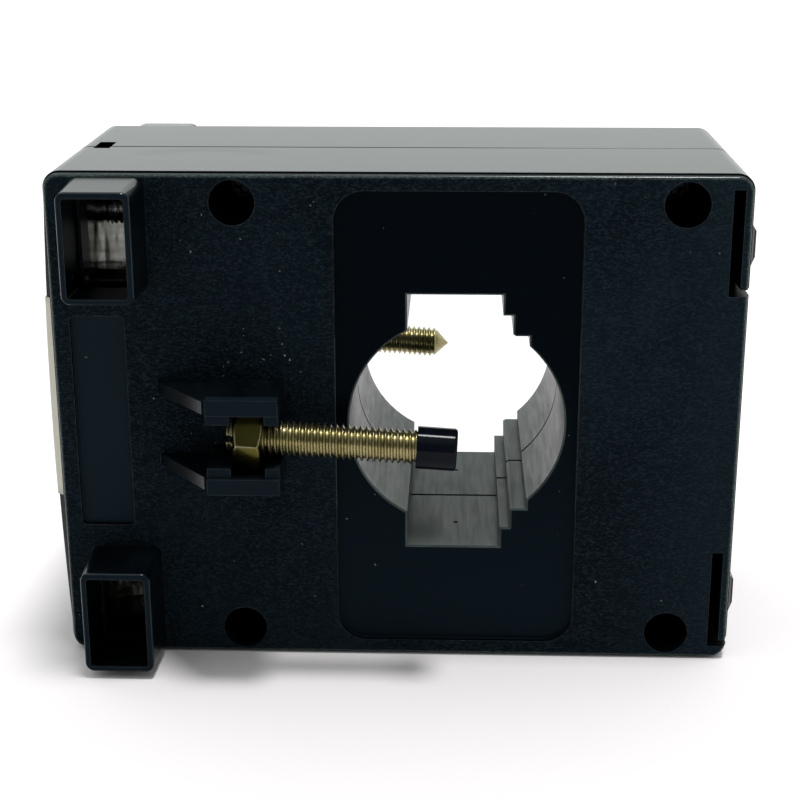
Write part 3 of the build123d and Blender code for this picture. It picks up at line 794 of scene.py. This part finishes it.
def gloss_plastic(name, colour, roughness, scale, level=0.5):
    """Moulded or sleeved plastic with faint handling marks."""
    material, graph, shader, given = new_material(name)
    place = given["Object"]
    cloud = smudged(graph, place, scale, 0.4, 0.75)
    edges = worn_edges(graph, place, 0.00015, scale * 5)
    paler = tuple(min(1.0, part * 2.2 + 0.004) for part in colour[:3]) + (1.0,)
    set_shader(
        graph, shader, Base_Color=graph.mix(graph.times(cloud["Mask"], 0.5), colour, paler),
        Roughness=graph.ramp(cloud["Mask"], 0.0, 1.0, roughness, roughness + 0.14), Specular_IOR_Level=level,
        Normal=graph.bump(cloud["Fine"], 0.000006, 0.4, edges["Normal"]),
    )
    return material


def ring_pattern(name, colour, dark, ring_wave, metallic, roughness, depth):
    """A finish whose lines follow the ring: turns of wire, laps of tape or layers of strip."""
    material, graph, shader, given = new_material(name)
    place = given["Object"]
    x, _, z = graph.split(place)
    wave = ring_wave(graph, x, z)
    cloud = smudged(graph, place, 140.0, 0.35, 0.7)
    coloured = graph.mix(graph.ramp(wave, 0.0, 0.6, 0.85, 0.0), colour, dark)
    coloured = graph.mix(graph.times(cloud["Mask"], 0.3), coloured, dark)
    set_shader(
        graph, shader, Base_Color=coloured, Metallic=metallic,
        Roughness=graph.ramp(cloud["Fine"], 0.2, 0.8, roughness * 0.8, roughness * 1.3),
        Normal=graph.bump(wave, depth, 0.8),
    )
    return material


def wire_turns(graph, x, z):
    """Round wires side by side around the ring."""
    angle = graph.math("ARCTAN2", z, x)
    return graph.math("ABSOLUTE", graph.math("SINE", graph.times(angle, WIRES_ROUND / 2)))


def tape_laps(graph, x, z):
    """Laps of tape, each a step over the last."""
    return graph.math("FRACT", graph.times(graph.math("ARCTAN2", z, x), LAPS_PER_RADIAN))


def strip_layers(graph, x, z):
    """Layers of wound strip."""
    return graph.math("PINGPONG", graph.times(off_axis(graph, x, z), LAYERS_PER_METRE), 1.0)


ROD_INPUTS = [
    ("Start", FLOAT, 0.0), ("End", FLOAT, 0.02), ("Radius", FLOAT, 0.002), ("Pitch", FLOAT, 0.0007),
    ("Depth", FLOAT, 0.0004), ("Chamfer", FLOAT, 0.0004), ("Point slope", FLOAT, 1.0),
    ("Segments", INTEGER, 40),
]
SLOT_INPUTS = [("Slot depth", FLOAT, 0.001), ("Slot width", FLOAT, 0.0008)]
HEAD_INPUTS = [("Head start", FLOAT, 0.0), ("Head height", FLOAT, 0.002), ("Head radius", FLOAT, 0.003)]


def flat_grid(graph, rows, segments):
    """A grid to be rolled: its mesh, and each point's place across and around it, from 0 to 1."""
    grid = graph.add(
        "GeometryNodeMeshGrid",
        {"Size X": 1.0, "Size Y": 1.0, "Vertices X": rows, "Vertices Y": graph.math("ADD", segments, 1.0)},
    )
    across, around, _ = graph.split(graph.add("GeometryNodeInputPosition").outputs[0])
    return grid.outputs["Mesh"], graph.math("ADD", across, 0.5), graph.math("ADD", around, 0.5)


def roll(graph, end, grid, along, radius, turn):
    """Rolls a grid into a turned shape along X, closes its seam and poles, and ends the group with it."""
    angle = graph.times(turn, 2 * math.pi)
    sideways = graph.times(radius, graph.math("COSINE", angle))
    upwards = graph.times(radius, graph.math("SINE", angle))
    spot = graph.join(along, sideways, upwards)
    bent = graph.add("GeometryNodeSetPosition", {"Geometry": grid, "Position": spot})
    merged = graph.add(
        "GeometryNodeMergeByDistance", {"Geometry": bent.outputs[0], "Distance": MERGE_DISTANCE}
    )
    turned = graph.add("GeometryNodeFlipFaces", {"Mesh": merged.outputs[0]})
    smooth = graph.add("GeometryNodeSetShadeSmooth", {"Geometry": turned.outputs[0]})
    graph.feed(end.inputs["Geometry"], smooth.outputs[0])
    return graph.tree


def threaded_rod_group():
    """A screw thread along X: a grid's rows follow the helix, and its ends are a chamfer and a point."""
    graph, given, end = new_group(
        "Threaded rod", "GeometryNodeTree", ROD_INPUTS + [("Rows per turn", INTEGER, 16)],
        [("Geometry", GEOMETRY)],
    )
    length = graph.math("SUBTRACT", given["End"], given["Start"])
    turns = graph.math("ADD", graph.math("CEIL", graph.math("DIVIDE", length, given["Pitch"])), 3.0)
    rows = graph.math("ADD", graph.times(turns, given["Rows per turn"]), 1.0)
    grid, across, turn = flat_grid(graph, rows, given["Segments"])
    row = graph.times(across, turns)
    past_start = graph.times(graph.math("ADD", row, graph.math("SUBTRACT", turn, 2.0)), given["Pitch"])
    place = graph.math("ADD", past_start, given["Start"])

    wave = graph.times(graph.math("PINGPONG", row, 0.5), 2.0)
    crest = graph.ramp(wave, 0.25, 0.875)
    root = graph.math("SUBTRACT", given["Radius"], given["Depth"])
    thread = graph.math("ADD", root, graph.times(crest, given["Depth"]))
    end_radius = graph.math("SUBTRACT", given["Radius"], given["Chamfer"])
    chamfer = graph.math("ADD", end_radius, past_start)
    flat_end = graph.math("ADD", end_radius, graph.times(past_start, 5.0))
    point = graph.times(graph.math("SUBTRACT", given["End"], place), given["Point slope"])
    radius = graph.math("MINIMUM", thread, graph.math("MINIMUM", chamfer, flat_end))
    radius = graph.most(graph.math("MINIMUM", radius, point), 0.0)
    along = graph.math("MINIMUM", graph.most(place, given["Start"]), given["End"])
    return roll(graph, end, grid, along, radius, turn)


def turned_head_group():
    """A pan head along X, from its crown at the start to its flat underside."""
    graph, given, end = new_group(
        "Turned head", "GeometryNodeTree",
        [
            ("Start", FLOAT, 0.0), ("Height", FLOAT, 0.002), ("Radius", FLOAT, 0.003),
            ("Crown", FLOAT, 0.35), ("Segments", INTEGER, 40),
        ],
        [("Geometry", GEOMETRY)],
    )
    grid, across, turn = flat_grid(graph, HEAD_ROWS, given["Segments"])
    step = graph.times(across, 3.0)
    swing = graph.times(graph.math("MINIMUM", step, 2.0), math.pi / 4)
    dome = graph.math("POWER", graph.most(graph.math("SINE", swing), 0.0), given["Crown"])
    under = graph.math("SUBTRACT", 3.0, step)
    radius = graph.times(given["Radius"], graph.math("MINIMUM", dome, under))
    drop = graph.math("POWER", graph.most(graph.math("COSINE", swing), 0.0), given["Crown"])
    sunk = graph.times(given["Height"], graph.math("SUBTRACT", 1.0, drop))
    return roll(graph, end, grid, graph.math("ADD", given["Start"], sunk), radius, turn)


def screw_tree(name, inputs):
    """An empty tree of a screw: the rod's, slot's and its own inputs, and its material."""
    inputs = ROD_INPUTS + SLOT_INPUTS + inputs + [("Material", MATERIAL, None)]
    return new_group(name, "GeometryNodeTree", inputs, [("Geometry", GEOMETRY)])


def place_rod(graph, given):
    """The threaded rod as a node, fed from the tree's own inputs."""
    rod = graph.add("GeometryNodeGroup", node_tree=shared("Threaded rod", threaded_rod_group))
    for label, _, _ in ROD_INPUTS:
        graph.feed(rod.inputs[label], given[label])
    return rod.outputs[0]


def place_head(graph, given):
    """The turned head as a node, fed from the tree's own inputs."""
    head = graph.add("GeometryNodeGroup", node_tree=shared("Turned head", turned_head_group))
    for label in ("Start", "Height", "Radius"):
        graph.feed(head.inputs[label], given["Head " + label.lower()])
    graph.feed(head.inputs["Segments"], given["Segments"])
    return head.outputs[0]


def cut_slot(graph, given, body, start, length, turned=0.0):
    """Cuts a driver slot into the start of a body that lies along X."""
    size = graph.join(graph.times(given["Slot depth"], 2.0), length, given["Slot width"])
    cube = graph.add("GeometryNodeMeshCube", {"Size": size})
    placed = graph.add(
        "GeometryNodeTransform",
        {"Geometry": cube.outputs["Mesh"], "Translation": graph.join(start), "Rotation": (turned, 0, 0)},
    )
    cut = graph.add(
        "GeometryNodeMeshBoolean", {"Mesh 1": body, "Mesh 2": placed.outputs[0]},
        operation="DIFFERENCE", solver="EXACT",
    )
    return cut.outputs["Mesh"]


def joined(graph, *parts):
    """Several geometries as one."""
    made = graph.add("GeometryNodeJoinGeometry")
    for part in parts:
        graph.feed(made.inputs[0], part)
    return made.outputs[0]


def finish_tree(graph, end, body, material):
    """Ends a tree with real geometry and its material."""
    real = graph.add("GeometryNodeRealizeInstances", {"Geometry": body})
    dressed = graph.add("GeometryNodeSetMaterial", {"Geometry": real.outputs[0], "Material": material})
    graph.feed(end.inputs["Geometry"], dressed.outputs[0])
    return graph.tree


def grub_screw_tree():
    """Headless screw: slotted at its start, pointed at its end."""
    graph, given, end = screw_tree("Grub screw", [])
    across = graph.times(given["Radius"], 3.0)
    body = cut_slot(graph, given, place_rod(graph, given), given["Start"], across)
    return finish_tree(graph, end, body, given["Material"])


def terminal_screw_tree():
    """Slotted pan-head screw with a plain spigot at its tip."""
    graph, given, end = screw_tree(
        "Terminal screw", HEAD_INPUTS + [("Spigot radius", FLOAT, 0.0012), ("Spigot length", FLOAT, 0.0008)]
    )
    across = graph.times(given["Head radius"], 3.0)
    head = cut_slot(graph, given, place_head(graph, given), given["Head start"], across)
    spigot = graph.add(
        "GeometryNodeMeshCylinder",
        {"Vertices": given["Segments"], "Radius": given["Spigot radius"], "Depth": given["Spigot length"]},
    )
    middle = graph.math("ADD", given["End"], graph.times(given["Spigot length"], 0.5))
    laid = graph.add(
        "GeometryNodeTransform",
        {
            "Geometry": spigot.outputs["Mesh"], "Translation": graph.join(middle),
            "Rotation": (0, math.pi / 2, 0),
        },
    )
    body = joined(graph, laid.outputs[0], place_rod(graph, given), head)
    return finish_tree(graph, end, body, given["Material"])


def case_screw_tree():
    """Cross-recessed self-tapping screws, one on each corner of a rectangle, pointing along Y."""
    graph, given, end = screw_tree(
        "Case screws", HEAD_INPUTS + [("Spacing X", FLOAT, 0.05), ("Spacing Z", FLOAT, 0.05)]
    )
    head = place_head(graph, given)
    for turned in (0.0, math.pi / 2):
        head = cut_slot(graph, given, head, given["Head start"], given["Head radius"], turned)
    corners = graph.add(
        "GeometryNodeMeshGrid",
        {"Size X": given["Spacing X"], "Size Y": given["Spacing Z"], "Vertices X": 2, "Vertices Y": 2},
    )
    upright = graph.add(
        "GeometryNodeTransform", {"Geometry": corners.outputs["Mesh"], "Rotation": (math.pi / 2, 0, 0)}
    )
    placed = graph.add(
        "GeometryNodeInstanceOnPoints",
        {
            "Points": upright.outputs[0], "Instance": joined(graph, place_rod(graph, given), head),
            "Rotation": (0, 0, math.pi / 2),
        },
    )
    return finish_tree(graph, end, placed.outputs[0], given["Material"])


def made_plain(made, name):
    """Turns an object's evaluated shape into its own plain mesh, and takes its modifiers away."""
    source = made.data
    depsgraph = bpy.context.evaluated_depsgraph_get()
    mesh = bpy.data.meshes.new_from_object(made.evaluated_get(depsgraph), depsgraph=depsgraph)
    if not mesh.polygons:
        raise RuntimeError(f"no faces were made for {name}")
    made.modifiers.clear()
    made.data = mesh
    mesh.name = name
    bpy.data.meshes.remove(source)
    return made


def grow(name, tree, values):
    """Evaluates a geometry tree with these inputs, and returns the result as a plain mesh object."""
    made = bpy.data.objects.new(name, bpy.data.meshes.new(name + "_seed"))
    bpy.context.scene.collection.objects.link(made)
    modifier = made.modifiers.new("Shape", "NODES")
    modifier.node_group = tree
    for item in tree.interface.items_tree:
        if item.in_out == "INPUT" and item.name in values:
            modifier[item.identifier] = values[item.name]
    return made_plain(made, name)


def bevelled_copy(node, width, name):
    """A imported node's mesh with merged corners and real rounded edges, as a piece of its own."""
    made = bpy.data.objects.new(name, frame["nodes"][node].data.copy())
    bpy.context.scene.collection.objects.link(made)
    weld = made.modifiers.new("Weld", "WELD")
    weld.merge_threshold = 2 * MERGE_DISTANCE
    flatten = made.modifiers.new("Flatten", "DECIMATE")
    flatten.decimate_type = "DISSOLVE"
    flatten.angle_limit = math.radians(1.0)
    bevel = made.modifiers.new("Round", "BEVEL")
    bevel.width = width
    bevel.segments = 2
    bevel.limit_method = "ANGLE"
    bevel.angle_limit = math.radians(25.0)
    bevel.harden_normals = True
    return made_plain(made, name)


def stand_for(piece, node):
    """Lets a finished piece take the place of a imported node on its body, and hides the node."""
    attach(piece, BODY_OF[node])
    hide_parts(node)


def dress(nodes, material):
    """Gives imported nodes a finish."""
    for name in nodes:
        for slot in frame["nodes"][name].material_slots:
            slot.material = material


def along_axis(origin, direction):
    """Places what lies along X on a line, upright as far as the line allows."""
    forward = direction.normalized()
    side = Vector((0, 0, 1)).cross(forward).normalized()
    up = forward.cross(side)
    turn = Matrix((forward, side, up)).transposed()
    return Matrix.Translation(origin) @ turn.to_4x4()


class TRANSFORMER_OT_case(bpy.types.Operator):
    """Finish the two shells of the case"""

    bl_idname = "transformer.case"
    bl_label = "Case"

    def execute(self, context):
        dress(("front_housing", "rear_housing"), case_plastic(context.scene.case_look))
        return {"FINISHED"}


class TRANSFORMER_OT_label(bpy.types.Operator):
    """Finish the bare label on the terminal side"""

    bl_idname = "transformer.label"
    bl_label = "Label"

    def execute(self, context):
        dress(("rating_label",), label_film(context.scene.film_look))
        return {"FINISHED"}


class TRANSFORMER_OT_clamps(bpy.types.Operator):
    """Make the threaded clamp screws, their nuts and the cap"""

    bl_idname = "transformer.clamps"
    bl_label = "Clamp screws"

    def execute(self, context):
        look = context.scene.metal_look
        sizes = context.scene.thread_sizes
        gold = plated_metal("yellow_passivated", tuple(look.gold), tuple(look.olive), 0.28, 260.0, GOLD_EDGE)
        # The nuts' pale edge tone, over a wide rounding, is a painted edge highlight
        olive = plated_metal(
            "olive_passivated_edge_highlight", NUT_TONE, NUT_SHADE, 0.2, 200.0, NUT_EDGE_HIGHLIGHT, edge_radius=0.3 * MILLIMETRE
        )
        tree = grub_screw_tree()
        for end in ("front", "rear"):
            origin = node_centre(f"{end}_clamp_nut")
            start, tip, radius = reach_along(f"{end}_clamp_screw", origin, CLAMP_AXIS)
            piece = grow(
                f"{end}_clamp_screw_thread", tree,
                {
                    "Start": start, "End": tip, "Radius": radius, "Pitch": sizes.clamp_pitch,
                    "Depth": sizes.clamp_pitch * sizes.depth_share, "Chamfer": sizes.end_chamfer,
                    "Point slope": CONE_POINT, "Segments": sizes.segments, "Slot depth": sizes.clamp_slot[0],
                    "Slot width": sizes.clamp_slot[1], "Material": gold,
                },
            )
            piece.data.transform(along_axis(origin, CLAMP_AXIS))
            stand_for(piece, f"{end}_clamp_screw")
            nut = bevelled_copy(f"{end}_clamp_nut", sizes.nut_rounding, f"{end}_clamp_nut_rounded")
            nut.material_slots[0].material = olive
            stand_for(nut, f"{end}_clamp_nut")
        cap = gloss_plastic("cap_plastic", tuple(context.scene.film_look.cap), 0.06, 200.0, level=0.08)
        dress(("front_screw_cap",), cap)
        return {"FINISHED"}


class TRANSFORMER_OT_terminals(bpy.types.Operator):
    """Finish the terminal boxes and plates, and make their screws"""

    bl_idname = "transformer.terminals"
    bl_label = "Terminals"

    def execute(self, context):
        look = context.scene.metal_look
        sizes = context.scene.thread_sizes
        zinc = plated_metal("zinc_plate", tuple(look.zinc), ZINC_SHADE, 0.26, 300.0, ZINC_EDGE)
        # Painted shade: the terminals' nickel is darkened for the shade inside the hoods
        nickel_darkened_for_shade = plated_metal(
            "nickel_plate", tuple(look.nickel_darkened_for_shade), NICKEL_SHADE, 0.12, 220.0, dents=0.4 * MILLIMETRE
        )
        tree = terminal_screw_tree()
        direction = Vector(JOINTS["upper_plate_slide"]["axis"])
        for place in ("upper", "lower"):
            dress((f"{place}_terminal_body", f"{place}_pressure_plate"), nickel_darkened_for_shade)
            node = f"{place}_terminal_screw"
            origin = Vector(JOINTS[f"{place}_screw_turn"]["pos_m"])
            start, tip, head_radius = reach_along(node, origin, direction)
            shank_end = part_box(f"{place}_pressure_plate")[0].x - origin.x
            piece = grow(
                f"{node}_turned", tree,
                {
                    "Start": start + sizes.terminal_head * SHANK_IN_HEAD, "End": shank_end,
                    "Radius": sizes.terminal_radius, "Pitch": sizes.clamp_pitch,
                    "Depth": sizes.clamp_pitch * sizes.depth_share, "Chamfer": 0.0, "Point slope": FLAT_END,
                    "Segments": sizes.segments, "Slot depth": sizes.terminal_slot[0],
                    "Slot width": sizes.terminal_slot[1], "Head start": start,
                    "Head height": sizes.terminal_head, "Head radius": head_radius,
                    "Spigot radius": sizes.spigot_radius, "Spigot length": tip - shank_end, "Material": zinc,
                },
            )
            piece.data.transform(along_axis(origin, direction))
            stand_for(piece, node)
        return {"FINISHED"}


class TRANSFORMER_OT_case_screws(bpy.types.Operator):
    """Make the sunk screws that hold the shells together"""

    bl_idname = "transformer.case_screws"
    bl_label = "Case screws"

    def execute(self, context):
        sizes = context.scene.thread_sizes
        low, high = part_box("case_screws")
        head_height, head_radius = sizes.case_head
        # Black zinc, dark enough that the screw holes read as shaded: painted shade
        hole_shade_zinc = plated_metal("zinc_plate_darkened_for_hole_shade", HOLE_SHADE_ZINC, HOLE_SHADE_ZINC_LOW, 0.3, 300.0, HOLE_SHADE_ZINC_EDGE)
        piece = grow(
            "case_screws_turned", case_screw_tree(),
            {
                "Start": low.y + head_height * SHANK_IN_HEAD, "End": high.y, "Radius": sizes.case_radius,
                "Pitch": sizes.case_pitch, "Depth": sizes.case_pitch * sizes.case_depth_share,
                "Chamfer": 0.0, "Point slope": TAPPING_POINT, "Segments": sizes.case_segments,
                "Slot depth": sizes.cross_slot[0], "Slot width": sizes.cross_slot[1], "Head start": low.y,
                "Head height": head_height, "Head radius": head_radius,
                "Spacing X": high.x - low.x - 2 * head_radius, "Spacing Z": high.z - low.z - 2 * head_radius,
                "Material": hole_shade_zinc,
            },
        )
        stand_for(piece, "case_screws")
        return {"FINISHED"}


class TRANSFORMER_OT_core(bpy.types.Operator):
    """Finish the core, its channel, winding, tape and leads"""

    bl_idname = "transformer.core"
    bl_label = "Core and winding"

    def execute(self, context):
        metal = context.scene.metal_look
        film = context.scene.film_look
        strip = ring_pattern("wound_strip", tuple(metal.steel), STEEL_SHADE, strip_layers, 1.0, 0.35, 4e-5)
        wire = ring_pattern("wire_turns", tuple(metal.copper), COPPER_SHADE, wire_turns, 1.0, 0.28, 3e-4)
        tape = ring_pattern("film_tape", tuple(film.tape), TAPE_SHADE, tape_laps, 0.0, 0.25, 6e-5)
        channel = gloss_plastic("core_channel", tuple(film.channel), 0.45, 120.0)
        sleeve = gloss_plastic("lead_sleeve", tuple(film.lead), 0.32, 300.0)
        dress(("ring_core",), strip)
        dress(("core_cap_front", "core_cap_rear"), channel)
        dress(("secondary_winding",), wire)
        dress(("winding_tape",), tape)
        dress(("upper_lead", "lower_lead"), sleeve)
        return {"FINISHED"}


def add_floor(scene, look):
    """The pale floor that the case stands on."""
    half = look.floor_half
    corners = [(-half, -half), (half, -half), (half, half), (-half, half)]
    mesh = bpy.data.meshes.new("floor")
    mesh.from_pydata([(x, y, CAD_BOX[0][2]) for x, y in corners], [], [(0, 1, 2, 3)])
    floor = bpy.data.objects.new("floor", mesh)
    scene.collection.objects.link(floor)
    material, graph, shader, given = new_material("pale_floor")
    paper = graph.ramp(graph.noise(given["Object"], 40.0, 2.0), 0.3, 0.7, 0.48, 0.55)
    set_shader(graph, shader, Base_Color=tuple(look.floor), Roughness=paper, Specular_IOR_Level=0.0)
    mesh.materials.append(material)


def add_sky(scene, look):
    """Soft light all round: dim at the camera's side, brighter behind, at the sides and overhead."""
    scene.world = bpy.data.worlds.new("studio")
    scene.world.use_nodes = True
    scene.world.node_tree.nodes.clear()
    graph = Graph(scene.world.node_tree)
    x, y, z = graph.split(graph.add("ShaderNodeTexCoord").outputs["Generated"])
    level = graph.ramp(y, -0.35, 0.5, look.sky_front, look.sky_back)
    level = graph.most(level, graph.ramp(graph.math("ABSOLUTE", x), 0.5, 0.95, 0.0, look.sky_sides))
    overhead = graph.ramp(z, 0.6, 0.95)
    rise = graph.times(overhead, graph.math("SUBTRACT", look.sky_top, level))
    strength = graph.math("ADD", level, rise)
    backdrop = graph.add("ShaderNodeBackground", {"Color": tuple(look.sky_colour), "Strength": strength})
    graph.add("ShaderNodeOutputWorld", {"Surface": backdrop.outputs[0]})


def add_lamp(scene, look):
    """The soft lamp overhead."""
    data = bpy.data.lights.new("soft_lamp", "SUN")
    data.energy = look.lamp_level
    data.angle = look.lamp_spread
    lamp = bpy.data.objects.new("soft_lamp", data)
    lamp.rotation_euler = Vector(look.lamp_from).to_track_quat("Z", "Y").to_euler()
    scene.collection.objects.link(lamp)


def add_camera(scene, look):
    """The camera at the photograph's angle."""
    right = Vector(look.camera_right).normalized()
    up = Vector(look.camera_up).normalized()
    back = right.cross(up).normalized()
    turn = Matrix((right, back.cross(right), back)).transposed()
    camera = bpy.data.objects.new("camera", bpy.data.cameras.new("camera"))
    camera.data.lens = look.lens
    camera.data.sensor_width = look.sensor
    camera.data.clip_start = 5 * MILLIMETRE
    camera.matrix_world = Matrix.Translation(Vector(look.camera_place)) @ turn.to_4x4()
    scene.collection.objects.link(camera)
    scene.camera = camera
    scene.view_settings.view_transform = "Standard"


class TRANSFORMER_OT_stage(bpy.types.Operator):
    """Set up the floor, light and camera"""

    bl_idname = "transformer.stage"
    bl_label = "Stage"

    def execute(self, context):
        for add in (add_floor, add_sky, add_lamp, add_camera):
            add(context.scene, context.scene.stage_look)
        return {"FINISHED"}


PIECE_OPERATORS = (
    TRANSFORMER_OT_case,
    TRANSFORMER_OT_label,
    TRANSFORMER_OT_clamps,
    TRANSFORMER_OT_terminals,
    TRANSFORMER_OT_case_screws,
    TRANSFORMER_OT_core,
    TRANSFORMER_OT_stage,
)
SETTINGS = {
    "case_look": CaseLook,
    "metal_look": MetalLook,
    "film_look": FilmLook,
    "thread_sizes": ThreadSizes,
    "stage_look": StageLook,
}


class TRANSFORMER_PT_looks(bpy.types.Panel):
    """Lists the pieces and their settings"""

    bl_idname = "TRANSFORMER_PT_looks"
    bl_label = "Current transformer"
    bl_space_type = "VIEW_3D"
    bl_region_type = "UI"
    bl_category = "Transformer"

    def draw(self, context):
        for operator in PIECE_OPERATORS:
            self.layout.operator(operator.bl_idname)
        for name in SETTINGS:
            settings = getattr(context.scene, name)
            box = self.layout.box()
            for key in settings.__annotations__:
                box.prop(settings, key)


def register():
    """Registers the settings, operators and panel."""
    for name, kind in SETTINGS.items():
        bpy.utils.register_class(kind)
        setattr(bpy.types.Scene, name, PointerProperty(type=kind))
    for kind in PIECE_OPERATORS + (TRANSFORMER_PT_looks,):
        bpy.utils.register_class(kind)


def unregister():
    """Takes back what register did."""
    for kind in (TRANSFORMER_PT_looks,) + PIECE_OPERATORS[::-1]:
        bpy.utils.unregister_class(kind)
    for name, kind in SETTINGS.items():
        delattr(bpy.types.Scene, name)
        bpy.utils.unregister_class(kind)


def main():
    """Builds every piece and the stage."""
    register()
    for operator in PIECE_OPERATORS:
        group, name = operator.bl_idname.split(".")
        getattr(getattr(bpy.ops, group), name)()


if __name__ == "__main__":
    main()
